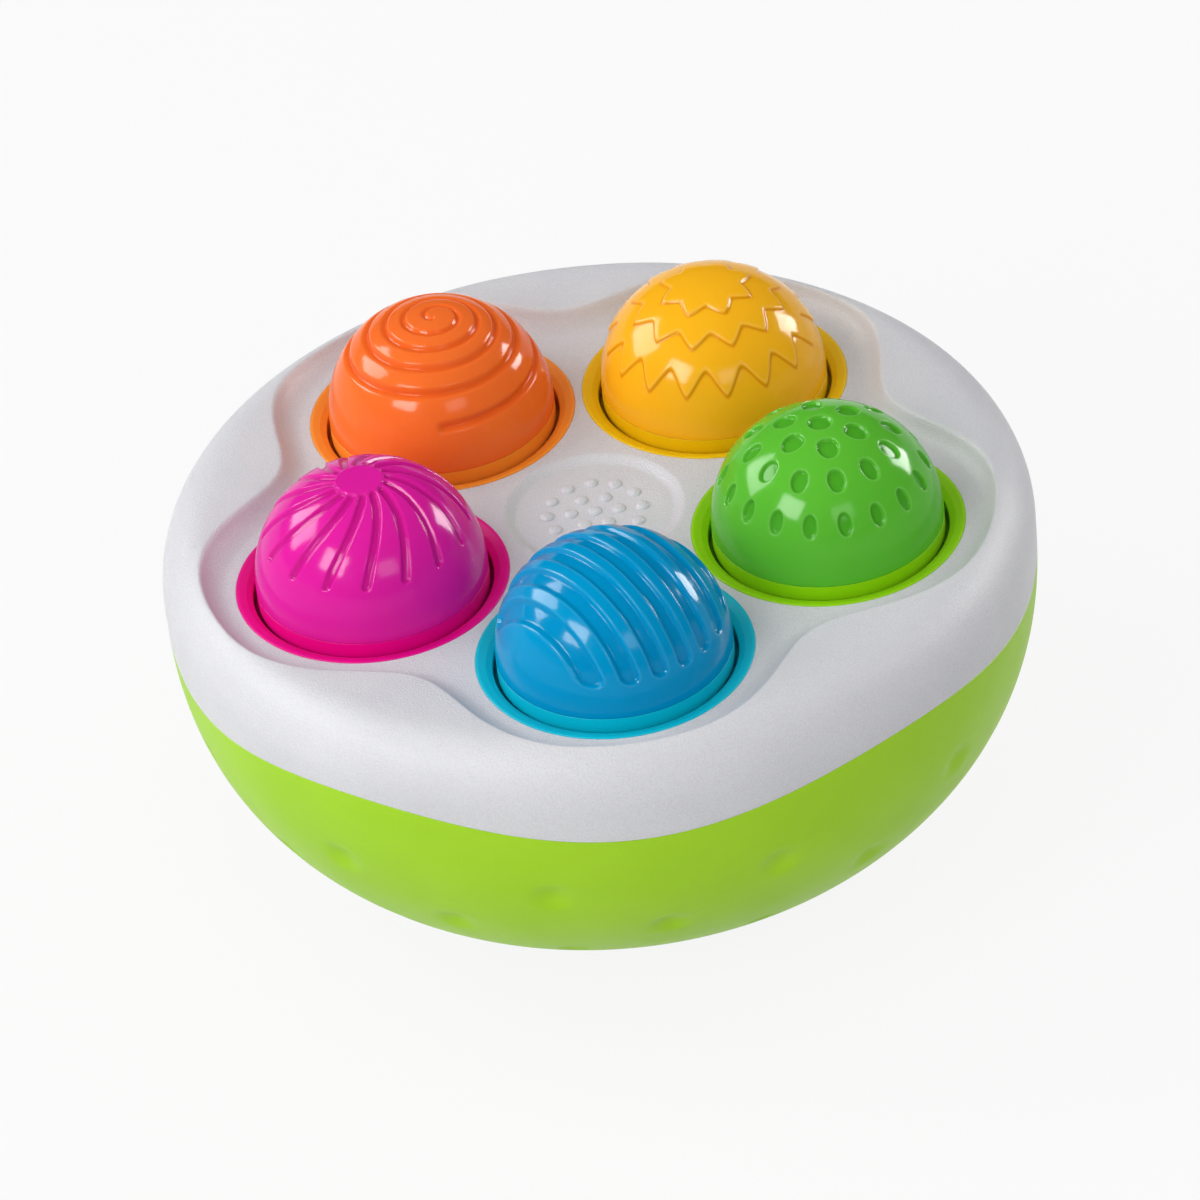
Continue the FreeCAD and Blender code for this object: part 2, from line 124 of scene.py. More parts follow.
def linear(code: str) -> Tuple[float, float, float, float]:
    """Turns a six-digit sRGB colour code into a linear colour.

    Args:
        code: Hexadecimal digits, such as "F5662A".

    Returns:
        Linear red, green, blue and an alpha of one.
    """
    shares = [int(code[i:i + 2], 16) / 255.0 for i in (0, 2, 4)]
    parts = [s / 12.92 if s <= 0.04045 else ((s + 0.055) / 1.055) ** 2.4 for s in shares]
    return (parts[0], parts[1], parts[2], 1.0)


class Field:
    """A number that varies over a surface, with arithmetic made of Math nodes."""

    def __init__(self, graph: "Graph", socket: bpy.types.NodeSocket) -> None:
        """Wraps one output socket of a node in graph."""
        self.graph = graph
        self.socket = socket

    def __add__(self, other: Number) -> "Field":
        """Sum."""
        return self.graph.math("ADD", self, other)

    def __radd__(self, other: Number) -> "Field":
        """Sum, the other way round."""
        return self.graph.math("ADD", other, self)

    def __sub__(self, other: Number) -> "Field":
        """Difference."""
        return self.graph.math("SUBTRACT", self, other)

    def __rsub__(self, other: Number) -> "Field":
        """Difference, the other way round."""
        return self.graph.math("SUBTRACT", other, self)

    def __mul__(self, other: Number) -> "Field":
        """Product."""
        return self.graph.math("MULTIPLY", self, other)

    def __rmul__(self, other: Number) -> "Field":
        """Product, the other way round."""
        return self.graph.math("MULTIPLY", other, self)

    def __truediv__(self, other: Number) -> "Field":
        """Quotient."""
        return self.graph.math("DIVIDE", self, other)

    def __rtruediv__(self, other: Number) -> "Field":
        """Quotient, the other way round."""
        return self.graph.math("DIVIDE", other, self)

    def __pow__(self, power: Number) -> "Field":
        """Power."""
        return self.graph.math("POWER", self, power)

    def __abs__(self) -> "Field":
        """Size without its sign."""
        return self.graph.math("ABSOLUTE", self)

    def __round__(self) -> "Field":
        """Nearest whole number."""
        return self.graph.math("FLOOR", self + 0.5)

    def above(self, limit: Number) -> "Field":
        """One where this is greater than limit, and nought elsewhere."""
        return self.graph.math("GREATER_THAN", self, limit)

    def at_least(self, limit: Number) -> "Field":
        """This or limit, whichever is greater."""
        return self.graph.math("MAXIMUM", self, limit)

    def at_most(self, limit: Number) -> "Field":
        """This or limit, whichever is less."""
        return self.graph.math("MINIMUM", self, limit)

    def within(self, low: Number, high: Number) -> "Field":
        """This, kept between two limits."""
        return self.at_least(low).at_most(high)

    def rise(self, low: Number, high: Number) -> "Field":
        """Smooth step from nought at low to one at high."""
        node = self.graph.node("ShaderNodeMapRange", interpolation_type="SMOOTHSTEP")
        self.graph.feed(node.inputs["Value"], self)
        self.graph.feed(node.inputs["From Min"], low)
        self.graph.feed(node.inputs["From Max"], high)
        return Field(self.graph, node.outputs["Result"])

    def fall(self, low: Number, high: Number) -> "Field":
        """Smooth step from one at low to nought at high."""
        return 1.0 - self.rise(low, high)


class Graph:
    """Short calls that add nodes to one node tree and link them."""

    def __init__(self, tree: bpy.types.NodeTree) -> None:
        """Works on tree."""
        self.tree = tree

    def node(self, kind: str, **settings: object) -> bpy.types.Node:
        """Adds a node of a kind and sets its properties."""
        made = self.tree.nodes.new(kind)
        for name, value in settings.items():
            setattr(made, name, value)
        return made

    def feed(self, socket: bpy.types.NodeSocket, value: object) -> None:
        """Links a field or socket to an input, or sets the input's own value."""
        if isinstance(value, Field):
            value = value.socket
        if isinstance(value, bpy.types.NodeSocket):
            self.tree.links.new(value, socket)
        else:
            socket.default_value = value

    def make(self, kind: str, inputs: Dict[object, object], output: object = 0,
             **settings: object) -> bpy.types.NodeSocket:
        """Adds a node, feeds its inputs and returns one of its outputs.

        Args:
            kind: The node's class name.
            inputs: What goes into each input, by the input's name or number.
            output: The wanted output's name or number.
            **settings: Properties of the node.

        Returns:
            The output socket.
        """
        made = self.node(kind, **settings)
        for key, value in inputs.items():
            self.feed(made.inputs[key], value)
        return made.outputs[output]

    def math(self, operation: str, *values: Number) -> Field:
        """Adds a Math node on one to three values."""
        inputs = dict(enumerate(values))
        return Field(self, self.make("ShaderNodeMath", inputs, operation=operation))

    def sine(self, angle: Number) -> Field:
        """Sine of an angle in radians."""
        return self.math("SINE", angle)

    def cosine(self, angle: Number) -> Field:
        """Cosine of an angle in radians."""
        return self.math("COSINE", angle)

    def root(self, value: Number) -> Field:
        """Square root."""
        return self.math("SQRT", value)

    def length(self, *parts: Number) -> Field:
        """Length of a vector from its parts."""
        total = parts[0] * parts[0]
        for part in parts[1:]:
            total = total + part * part
        return self.root(total)

    def split(self, vector: bpy.types.NodeSocket) -> Tuple[Field, Field, Field]:
        """The three parts of a vector."""
        made = self.node("ShaderNodeSeparateXYZ")
        self.feed(made.inputs[0], vector)
        return tuple(Field(self, made.outputs[i]) for i in range(3))

    def join(self, x: Number, y: Number, z: Number) -> bpy.types.NodeSocket:
        """A vector from three parts."""
        return self.make("ShaderNodeCombineXYZ", {0: x, 1: y, 2: z})


class SurfaceTree(Graph):
    """A Geometry Nodes tree with named sizes, run once into a plain mesh."""

    def __init__(self, name: str, sizes: Dict[str, Union[float, int]],
                 material: bpy.types.Material) -> None:
        """Makes the tree's sockets.

        Args:
            name: The tree's name.
            sizes: Named inputs and their values.
            material: The finish that the tree sets at its end.
        """
        super().__init__(bpy.data.node_groups.new(name, "GeometryNodeTree"))
        self.values: Dict[str, object] = {"Finish": material, **sizes}
        face = self.tree.interface
        face.new_socket("Geometry", in_out="OUTPUT", socket_type="NodeSocketGeometry")
        face.new_socket("Finish", in_out="INPUT", socket_type="NodeSocketMaterial")
        for label, value in sizes.items():
            kind = "NodeSocketInt" if isinstance(value, int) else "NodeSocketFloat"
            face.new_socket(label, in_out="INPUT", socket_type=kind)
        self.entry = self.node("NodeGroupInput")

    def size(self, label: str) -> Field:
        """A named input as a field."""
        return Field(self, self.entry.outputs[label])

    def sheet(self, columns: Number, rows: Number) -> Tuple[bpy.types.NodeSocket, Field, Field]:
        """A grid to be wrapped round an axis.

        Args:
            columns: Number of faces round the axis.
            rows: Number of vertices along the section.

        Returns:
            The grid, the azimuth of each vertex in radians and its row's number.
        """
        grid = self.make("GeometryNodeMeshGrid", {
            "Size X": 1.0, "Size Y": 1.0, "Vertices X": columns + 1, "Vertices Y": rows})
        across, along, _ = self.split(self.make("GeometryNodeInputPosition", {}))
        return grid, (across + 0.5) * TAU, (along + 0.5) * (rows - 1)

    @staticmethod
    def along(row: Field, start: float, count: float) -> Field:
        """Share of a stretch of rows that a row has passed, from nought to one."""
        return ((row - start) / count).within(0.0, 1.0)

    @staticmethod
    def joined(row: Field, first: Place, later: Sequence[Tuple[float, Place]]) -> Place:
        """Picks the radius and level of the stretch that a row is in.

        Args:
            row: The row's number.
            first: Radius and level of the first stretch.
            later: The last row before each later stretch, and that stretch's radius and level.

        Returns:
            The radius and level.
        """
        radius, level = first
        for start, (own_radius, own_level) in later:
            reached = row.above(start + ROW_SLACK)
            radius = radius + (own_radius - radius) * reached
            level = level + (own_level - level) * reached
        return radius, level

    def wrapped(self, grid: bpy.types.NodeSocket, radius: Field, azimuth: Field, level: Field,
                centre: Tuple[Number, Number] = (0.0, 0.0)) -> bpy.types.NodeSocket:
        """Puts a grid's vertices at their radius, azimuth and level, and closes its seam."""
        x = radius * self.cosine(azimuth) + centre[0]
        y = radius * self.sine(azimuth) + centre[1]
        place = self.join(x * MM, y * MM, level * MM)
        moved = self.make("GeometryNodeSetPosition", {"Geometry": grid, "Position": place})
        merged = self.make("GeometryNodeMergeByDistance", {"Geometry": moved, "Distance": MERGE})
        return self.make("GeometryNodeFlipFaces", {0: merged})

    def ring_of(self, shape: bpy.types.NodeSocket, count: int, radius: float, first: float,
                level: float) -> bpy.types.NodeSocket:
        """Copies of a shape on a circle, as real geometry.

        Args:
            shape: What is copied.
            count: Number of copies.
            radius: Radius of the circle.
            first: Azimuth of the first copy.
            level: Height of the circle.

        Returns:
            The copies.
        """
        number = Field(self, self.make("GeometryNodeInputIndex", {}))
        azimuth = number * (TAU / count) + math.radians(first)
        place = self.join(self.cosine(azimuth) * (radius * MM), self.sine(azimuth) * (radius * MM),
                          level * MM)
        points = self.make("GeometryNodePoints", {"Count": count, "Position": place})
        copies = self.make("GeometryNodeInstanceOnPoints", {"Points": points, "Instance": shape})
        return self.make("GeometryNodeRealizeInstances", {"Geometry": copies})

    def plug(self, radius: float, low: float, high: float, top_radius: float = 0.0,
             sides: int = 128) -> bpy.types.NodeSocket:
        """Upright round solid between two levels, straight or tapered."""
        inputs = {"Vertices": sides, "Radius Bottom": radius * MM, "Depth": (high - low) * MM,
                  "Radius Top": (top_radius or radius) * MM}
        cone = self.make("GeometryNodeMeshCone", inputs)
        return self.make("GeometryNodeTransform", {"Geometry": cone,
                                                   "Translation": (0.0, 0.0, low * MM)})

    def cut(self, body: bpy.types.NodeSocket,
            cutters: Sequence[bpy.types.NodeSocket]) -> bpy.types.NodeSocket:
        """Body without what the cutters fill."""
        node = self.node("GeometryNodeMeshBoolean", operation="DIFFERENCE", solver="MANIFOLD")
        self.feed(node.inputs["Mesh 1"], body)
        for cutter in cutters:
            self.tree.links.new(cutter, node.inputs["Mesh 2"])
        return node.outputs["Mesh"]

    def weld(self, shapes: Sequence[bpy.types.NodeSocket]) -> bpy.types.NodeSocket:
        """One solid of several that overlap."""
        node = self.node("GeometryNodeMeshBoolean", operation="UNION", solver="MANIFOLD")
        for shape in shapes:
            self.tree.links.new(shape, node.inputs["Mesh 2"])
        return node.outputs["Mesh"]

    def smooth(self, body: bpy.types.NodeSocket, crease: float = 180.0) -> bpy.types.NodeSocket:
        """Smooth shading, with edges sharper than crease left sharp."""
        soft = self.make("GeometryNodeSetShadeSmooth", {"Geometry": body, "Shade Smooth": True})
        angle = Field(self, self.make("GeometryNodeInputMeshEdgeAngle", {}))
        return self.make("GeometryNodeSetShadeSmooth", {
            "Geometry": soft, "Selection": angle.above(math.radians(crease)),
            "Shade Smooth": False}, domain="EDGE")

    def run(self, name: str, body: bpy.types.NodeSocket) -> bpy.types.Object:
        """Ends the tree, runs it and keeps the result as a plain mesh.

        Args:
            name: The piece's name.
            body: The geometry that the tree puts out.

        Returns:
            An object at the origin with the finished mesh.
        """
        real = self.make("GeometryNodeRealizeInstances", {"Geometry": body})
        dressed = self.make("GeometryNodeSetMaterial", {
            "Geometry": real, "Material": self.entry.outputs["Finish"]})
        self.feed(self.node("NodeGroupOutput").inputs["Geometry"], dressed)
        host = bpy.data.objects.new(name + "_host", bpy.data.meshes.new(name + "_host"))
        bpy.context.scene.collection.objects.link(host)
        modifier = host.modifiers.new("surface", "NODES")
        modifier.node_group = self.tree
        for item in self.tree.interface.items_tree:
            if item.in_out == "INPUT":
                modifier[item.identifier] = self.values[item.name]
        graph = bpy.context.evaluated_depsgraph_get()
        mesh = bpy.data.meshes.new_from_object(host.evaluated_get(graph), depsgraph=graph)
        host.modifiers.remove(modifier)
        bpy.data.objects.remove(host)
        return shown(name, mesh)


def shown(name: str, mesh: bpy.types.Mesh) -> bpy.types.Object:
    """Puts a mesh in the scene under a piece's name."""
    mesh.name = name
    made = bpy.data.objects.new(name, mesh)
    bpy.context.scene.collection.objects.link(made)
    return made


@dataclass(frozen=True)
class Cloud:
    """A noise with raised contrast: nought below one value and one above another."""

    scale: float
    detail: float
    low: float
    high: float
    roughness: float = 0.5


class ShaderGroup(Graph):
    """A shader node group with named inputs and outputs, shared by the finishes."""

    def __init__(self, name: str, inputs: Sequence[Tuple[str, str]],
                 outputs: Sequence[Tuple[str, str]]) -> None:
        """Makes the group's sockets from pairs of a label and a socket type."""
        super().__init__(bpy.data.node_groups.new(name, "ShaderNodeTree"))
        for label, kind in inputs:
            self.tree.interface.new_socket(label, in_out="INPUT", socket_type=kind)
        for label, kind in outputs:
            self.tree.interface.new_socket(label, in_out="OUTPUT", socket_type=kind)
        self.entry = self.node("NodeGroupInput")
        self.exit = self.node("NodeGroupOutput")

    def size(self, label: str) -> Field:
        """A named input as a field."""
        return Field(self, self.entry.outputs[label])

    def noise(self, vector: object, scale: Number, detail: float,
              roughness: float = 0.5) -> Field:
        """Noise between nought and one."""
        return Field(self, self.make("ShaderNodeTexNoise", {
            "Vector": vector, "Scale": scale, "Detail": detail, "Roughness": roughness}))

    def cloud(self, vector: object, cloud: Cloud) -> Field:
        """Noise with its contrast raised."""
        noise = self.noise(vector, cloud.scale, cloud.detail, cloud.roughness)
        return noise.rise(cloud.low, cloud.high)


class Effects:
    """Surface effects that more than one finish uses, each built once."""

    DRIFT = Cloud(22.0, 2.0, 0.3, 0.7)
    SPECK = Cloud(2100.0, 1.0, 0.42, 0.7)
    SMEAR = Cloud(45.0, 4.0, 0.38, 0.72, 0.6)
    HAIRLINE = Cloud(1.0, 2.0, 0.69, 0.74, 0.4)
    SCUFFED_PATCH = Cloud(60.0, 1.0, 0.5, 0.62)
    SMOOTHEST = 0.03
    # How the hairlines' pattern is squeezed: along and across them, each by x and y, and by z
    HAIR_ALONG = (60.0, 25.0)
    HAIR_ACROSS = (-380.0, 900.0)
    HAIR_UP = 500.0
    # The grain's cells: scale and metres of their warp, softness, and where they rise
    WARP_SCALE = 0.6
    WARP_METRES = 0.0006
    CELL_SOFTNESS = 0.6
    CELL_RISE = (0.05, 0.75)
    FINE_SCALE = 2.7

    def __init__(self) -> None:
        """Builds the groups."""
        self.tint = self._moulded_tint()
        self.marks = self._handling_marks()
        self.grain = self._mould_grain()

    @staticmethod
    def _moulded_tint() -> bpy.types.NodeTree:
        """Colour that drifts at random over a moulding, with painted shade that deepens it in
        recesses and a painted highlight that pales their rims.

        The painted highlight is where the recess is below nought.
        """
        group = ShaderGroup("tone_and_painted_light", [
            ("Vector", VECTOR), ("Colour", COLOUR), ("Deep Colour", COLOUR), ("Drift", FLOAT),
            ("Speck", FLOAT), ("Painted Shade And Highlight", FLOAT)], [("Colour", COLOUR)])
        broad = group.cloud(group.size("Vector"), Effects.DRIFT)
        speck = group.cloud(group.size("Vector"), Effects.SPECK)
        # random drift and speck, and the painted shade in recesses, deepen the colour
        share = broad * group.size("Drift") + speck * group.size("Speck") + group.size("Painted Shade And Highlight")
        share = share.within(0.0, 1.0)
        mixed = group.make("ShaderNodeMix", {
            "Factor": share, 6: group.size("Colour"), 7: group.size("Deep Colour")},
            output=2, data_type="RGBA")
        # painted highlight: where the recess is below nought the colour pales towards white
        rim = (group.size("Painted Shade And Highlight") * -1.0).within(0.0, 1.0)
        with_painted_highlight = group.make("ShaderNodeMix", {
            "Factor": rim, 6: mixed, 7: WHITE}, output=2, data_type="RGBA")
        group.feed(group.exit.inputs["Colour"], with_painted_highlight)
        return group.tree

    @staticmethod
    def _handling_marks() -> bpy.types.NodeTree:
        """Roughness of a handled surface: soft smears and a few hairline scratches."""
        group = ShaderGroup("handling_marks", [
            ("Vector", VECTOR), ("Roughness", FLOAT), ("Smears", FLOAT), ("Scratches", FLOAT)],
            [("Roughness", FLOAT)])
        smear = group.cloud(group.size("Vector"), Effects.SMEAR)
        x, y, z = group.split(group.size("Vector").socket)
        stretched = group.join(
            x * Effects.HAIR_ALONG[0] + y * Effects.HAIR_ALONG[1],
            x * Effects.HAIR_ACROSS[0] + y * Effects.HAIR_ACROSS[1], z * Effects.HAIR_UP)
        hair = group.cloud(stretched, Effects.HAIRLINE)
        hair = hair * group.cloud(group.size("Vector"), Effects.SCUFFED_PATCH)
        rough = group.size("Roughness") + smear * group.size("Smears")
        rough = rough + hair * group.size("Scratches")
        group.feed(group.exit.inputs["Roughness"], rough.within(Effects.SMOOTHEST, 1.0))
        return group.tree

    @staticmethod
    def _mould_grain() -> bpy.types.NodeTree:
        """Height of a spark-eroded grain: rounded cells over a finer noise."""
        group = ShaderGroup("mould_grain", [
            ("Vector", VECTOR), ("Cells Per Metre", FLOAT), ("Fine Share", FLOAT)],
            [("Height", FLOAT)])
        scale = group.size("Cells Per Metre")
        warp = group.noise(group.size("Vector"), scale * Effects.WARP_SCALE, 1.0)
        warp = warp * Effects.WARP_METRES
        x, y, z = group.split(group.size("Vector").socket)
        bent = group.join(x + warp, y - warp, z + warp)
        cells = Field(group, group.make("ShaderNodeTexVoronoi", {
            "Vector": bent, "Scale": scale, "Smoothness": Effects.CELL_SOFTNESS},
            output="Distance", feature="SMOOTH_F1"))
        fine = group.noise(group.size("Vector"), scale * Effects.FINE_SCALE, 2.0)
        height = cells.rise(*Effects.CELL_RISE) * (1.0 - group.size("Fine Share"))
        height = height + fine * group.size("Fine Share")
        group.feed(group.exit.inputs["Height"], height)
        return group.tree

    def relief(self, graph: Graph, grain: Grain, place: object) -> bpy.types.NodeSocket:
        """Normal of a surface with a grain.

        Args:
            graph: The material's nodes.
            grain: Which texture the surface has.
            place: Where the pattern is read.

        Returns:
            The socket with the bent normal.
        """
        size = grain.value
        height = graph.make("ShaderNodeGroup", {
            "Vector": place, "Cells Per Metre": size.cells_per_metre,
            "Fine Share": size.fine_share}, node_tree=self.grain)
        return graph.make("ShaderNodeBump", {
            "Strength": size.strength, "Distance": size.height_mm * MM, "Height": height})


@dataclass(frozen=True)
class Finish(ABC):
    """What the finishes share: two shades, a grain and the marks of handling."""

    name: str
    colour: str
    # the deeper shade, for the random drift and for painted shade
    deep: str
    grain: Grain
    roughness: float
    smears: float = 0.06
    scratches: float = 0.12
    drift: float = 0.25
    speck: float = 0.1

    @abstractmethod
    def settle(self, shader: bpy.types.Node) -> None:
        """Sets the shader's values that are the same all over."""

    def recess(self, graph: Graph) -> object:
        """Painted shade that deepens the colour and painted highlight that pales it: none, on most
        finishes.
        """
        return 0.0

    def material(self, effects: Effects, centre: Vector = Vector()) -> bpy.types.Material:
        """Builds the material.

        Args:
            effects: The shared groups.
            centre: Point in metres that the pattern is centred on.

        Returns:
            The material.
        """
        made = bpy.data.materials.new(self.name)
        made.use_nodes = True
        graph = Graph(made.node_tree)
        shader = made.node_tree.nodes["Principled BSDF"]
        coordinates = graph.make("ShaderNodeTexCoord", {}, output="Object")
        place = graph.make("ShaderNodeMapping", {"Vector": coordinates,
                                                 "Location": tuple(-centre)})
        # the colour drifts at random and takes the painted shade and painted highlight here
        tint = graph.make("ShaderNodeGroup", {
            "Vector": place, "Colour": linear(self.colour), "Deep Colour": linear(self.deep),
            "Drift": self.drift, "Speck": self.speck, "Painted Shade And Highlight": self.recess(graph)},
            node_tree=effects.tint)
        marks = graph.make("ShaderNodeGroup", {
            "Vector": place, "Roughness": self.roughness, "Smears": self.smears,
            "Scratches": self.scratches}, node_tree=effects.marks)
        graph.feed(shader.inputs["Base Color"], tint)
        graph.feed(shader.inputs["Roughness"], marks)
        graph.feed(shader.inputs["Normal"], effects.relief(graph, self.grain, place))
        self.settle(shader)
        return made


@dataclass(frozen=True)
class Plastic(Finish):
    """A moulded plastic finish."""

    glow: float = 0.0
    glow_mm: float = 2.0
    glow_tint: Tuple[float, float, float] = (1.0, 0.6, 0.4)
    # whether the colour takes a dome's stored painted shade and painted highlight
    paints_shade_and_highlight: bool = False
    sheen_level: float = 0.2
    ior: float = 1.49

    def settle(self, shader: bpy.types.Node) -> None:
        """Sets the gloss and the light that the plastic lets through."""
        shader.inputs["IOR"].default_value = self.ior
        shader.inputs["Specular IOR Level"].default_value = self.sheen_level
        shader.inputs["Subsurface Weight"].default_value = self.glow
        shader.inputs["Subsurface Radius"].default_value = self.glow_tint
        shader.inputs["Subsurface Scale"].default_value = self.glow_mm * MM

    def recess(self, graph: Graph) -> object:
        """The painted shade and painted highlight that a dome's surface stores, where there are any.
        """
        if not self.paints_shade_and_highlight:
            return 0.0
        return graph.make("ShaderNodeAttribute", {}, output="Fac", attribute_name="recess")


@dataclass(frozen=True)
class Metal(Finish):
    """A bare metal finish: plated steel or raw casting."""

    smears: float = 0.2
    scratches: float = 0.2
    drift: float = 0.6
    speck: float = 0.3
    metallic: float = 1.0

    def settle(self, shader: bpy.types.Node) -> None:
        """Sets how metallic the surface is."""
        shader.inputs["Metallic"].default_value = self.metallic


@dataclass(frozen=True)
class PegPalette:
    """The two colours of a peg and its socket, each with its deeper shade."""

    dome: str
    dome_deep: str
    ring: str
    ring_deep: str


PALETTES = {
    Colour.BLUE: PegPalette("0091C4", "006EA6", "00C0D8", "00A2B8"),
    Colour.GREEN: PegPalette("5DBA34", "409C1E", "98D80E", "7ABA00"),
    Colour.YELLOW: PegPalette("F8B61E", "DC8606", "F0C606", "DCA800"),
    Colour.ORANGE: PegPalette("F2712E", "DE4C0C", "FA9A34", "E87C10"),
    Colour.MAGENTA: PegPalette("DB1F9C", "B4087A", "EC0090", "C80074"),
}


@dataclass
class DomePoint:
    """Where a vertex lies on a plain dome, about the dome's own axis and foot.

    The plan is its distance from the axis, the distance that from the foot's centre, the
    polar angle that from the axis, and the radius that of the dome's foot.
    """

    graph: Graph
    x: Field
    y: Field
    z: Field
    plan: Field
    azimuth: Field
    polar: Field
    distance: Field
    radius: float

    def nearest(self, count: int, first: float) -> Field:
        """Angle in radians from the nearest of several evenly spaced azimuths.

        Args:
            count: Number of azimuths in a turn.
            first: One of them, in degrees.

        Returns:
            The signed angle.
        """
        turns = (self.azimuth - math.radians(first)) * (count / TAU)
        return (turns - round(turns)) * (TAU / count)


class Relief(ABC):
    """A pattern moulded into a dome."""

    crown: float = 0.0          # height that the relief adds at the crown
    tint: float = 0.35          # how far the painted shade in a recess deepens the colour
    rim: float = 0.05           # how far the painted highlight on its rim pales it

    @abstractmethod
    def height(self, point: DomePoint) -> Field:
        """Height of the pattern in millimetres, below nought where it is cut in."""

    @abstractmethod
    def recess(self, point: DomePoint) -> Field:
        """Painted shade where it is above nought, and painted highlight where it is below nought."""


class Cuts(Relief):
    """Flat-bottomed cuts of one depth, with painted shade in each and a painted highlight round it.
    """

    depth: float = 1.0
    wall: float = 0.4           # half the width of the sloping wall of a cut
    painted_highlight_start: float = -0.2     # where the painted highlight round a cut starts, in walls from the cut's edge
    painted_highlight_width: float = 0.6

    @abstractmethod
    def beyond_edge(self, point: DomePoint) -> Field:
        """How far a point lies outside the nearest cut."""

    def height(self, point: DomePoint) -> Field:
        """Height of the cuts."""
        return self.beyond_edge(point).fall(-self.wall, self.wall) * -self.depth

    def recess(self, point: DomePoint) -> Field:
        """Painted shade in the cuts and a painted highlight round them."""
        away = self.beyond_edge(point)
        # band: the painted highlight round each cut
        band = away.rise(self.painted_highlight_start * self.wall, self.wall)
        band = band * away.fall(self.wall, self.wall + self.painted_highlight_width)
        return away.fall(-self.wall, self.wall) * self.tint - band * self.rim


@dataclass(frozen=True)
class StraightChannels(Cuts):
    """Parallel flat channels across the dome, with round ends."""

    # painted shade in the channels and painted highlight on their rims
    tint: float = 0.2
    rim: float = 0.02
    depth: float = 1.15
    pitch: float = 7.75
    half_width: float = 1.95
    wall: float = 0.52
    across: float = 36.0
    last: int = 3
    end_polar: float = 72.3

    def beyond_edge(self, point: DomePoint) -> Field:
        """How far a point lies outside the nearest channel."""
        turn = math.radians(self.across)
        offset = point.x * math.cos(turn) + point.y * math.sin(turn)
        number = round(offset / self.pitch).within(-self.last, self.last)
        side = offset - number * self.pitch
        end = math.radians(self.end_polar) - self.half_width / point.radius
        beyond = ((point.polar - end) * point.radius).at_least(0.0)
        return point.graph.length(side, beyond) - self.half_width


@dataclass(frozen=True)
class PitRings(Cuts):
    """Flat-bottomed pits: one at the crown and three rings round it."""

    # painted shade in the pits; their rims keep the painted highlight of all cuts
    tint: float = 0.55
    depth: float = 1.0
    first: float = -84.3
    counts: Tuple[int, ...] = (1, 6, 12, 18)
    polars: Tuple[float, ...] = (0.0, 18.6, 36.8, 58.4)
    half_widths: Tuple[float, ...] = (3.1, 2.85, 2.3, 1.75)
    half_length: float = 3.1
    wall: float = 0.28

    def beyond_edge(self, point: DomePoint) -> Field:
        """How far a point lies outside the nearest pit."""
        graph = point.graph
        away = graph.length(point.x, point.y) - self.half_widths[0]
        for count, polar, half_width in zip(self.counts[1:], self.polars[1:], self.half_widths[1:]):
            side = point.nearest(count, self.first) * point.plan
            along = (point.polar - math.radians(polar)) * point.radius
            size = graph.length(side / half_width, along / self.half_length)
            slope = graph.length(side / half_width ** 2, along / self.half_length ** 2)
            away = away.at_most((size - 1.0) * size / slope.at_least(1e-4))
        return away


@dataclass(frozen=True)
class ZigzagLayers(Relief):
    """Stepped layers with slightly blunt tips and round notches, highest at the crown."""

    # painted shade at the foot of each step and painted highlight along its top
    tint: float = 0.8
    rim: float = 0.06
    step: float = 0.6
    layers: int = 3
    notch_round: float = 0.28
    tip_round: float = 0.1
    tip_polars: Tuple[float, ...] = (24.3, 42.0, 66.3)
    notch_polars: Tuple[float, ...] = (18.2, 34.2, 53.2)
    tips: Tuple[int, ...] = (8, 12, 16)
    firsts: Tuple[float, ...] = (-72.0, -76.7, -86.1)
    wall: float = 0.46
    # Where the painted shade at a step's foot starts and ends, in walls from its middle
    painted_shade_band: Pair = (0.5, 2.2)

    @property
    def crown(self) -> float:
        """Height of all the layers together."""
        return self.step * self.layers

    def beyond_edges(self, point: DomePoint) -> List[Field]:
        """How far a point lies outside each layer's edge."""
        graph = point.graph
        found = []
        shape = zip(self.tips, self.firsts, self.tip_polars, self.notch_polars)
        for count, first, tip, notch in shape:
            share = abs(point.nearest(count, first)) * (count / math.pi)
            left = 1.0 - self.blunted(graph, share, self.tip_round)
            spike = self.blunted(graph, left, self.notch_round)
            edge = (spike * (tip - notch) + notch) * math.radians(1.0)
            run = math.pi / count * math.sin(math.radians(tip + notch) / 2.0)
            square = run / math.hypot(run, math.radians(tip - notch))
            found.append((point.polar - edge) * (point.radius * square))
        return found

    def blunted(self, graph: Graph, share: Field, soft: float) -> Field:
        """A share from nought to one, with its sharp turn at nought rounded."""
        return (graph.length(share, soft) - soft) / (math.hypot(1.0, soft) - soft)

    def height(self, point: DomePoint) -> Field:
        """Height of the layers."""
        total: Number = 0.0
        for away in self.beyond_edges(point):
            total = away.fall(-self.wall, self.wall) * self.step + total
        return total

    def recess(self, point: DomePoint) -> Field:
        """Painted shade along the foot of each step and a painted highlight along its top."""
        total: Number = 0.0
        wall, near, far = self.wall, self.wall * self.painted_shade_band[0], self.wall * self.painted_shade_band[1]
        for away in self.beyond_edges(point):
            # painted shade along the step's foot, then painted highlight along its top
            total = away.rise(-near, near) * away.fall(near, far) + total
            total = total - away.rise(-far, -wall) * away.fall(-wall, 0.0) * self.rim
        return total * self.tint


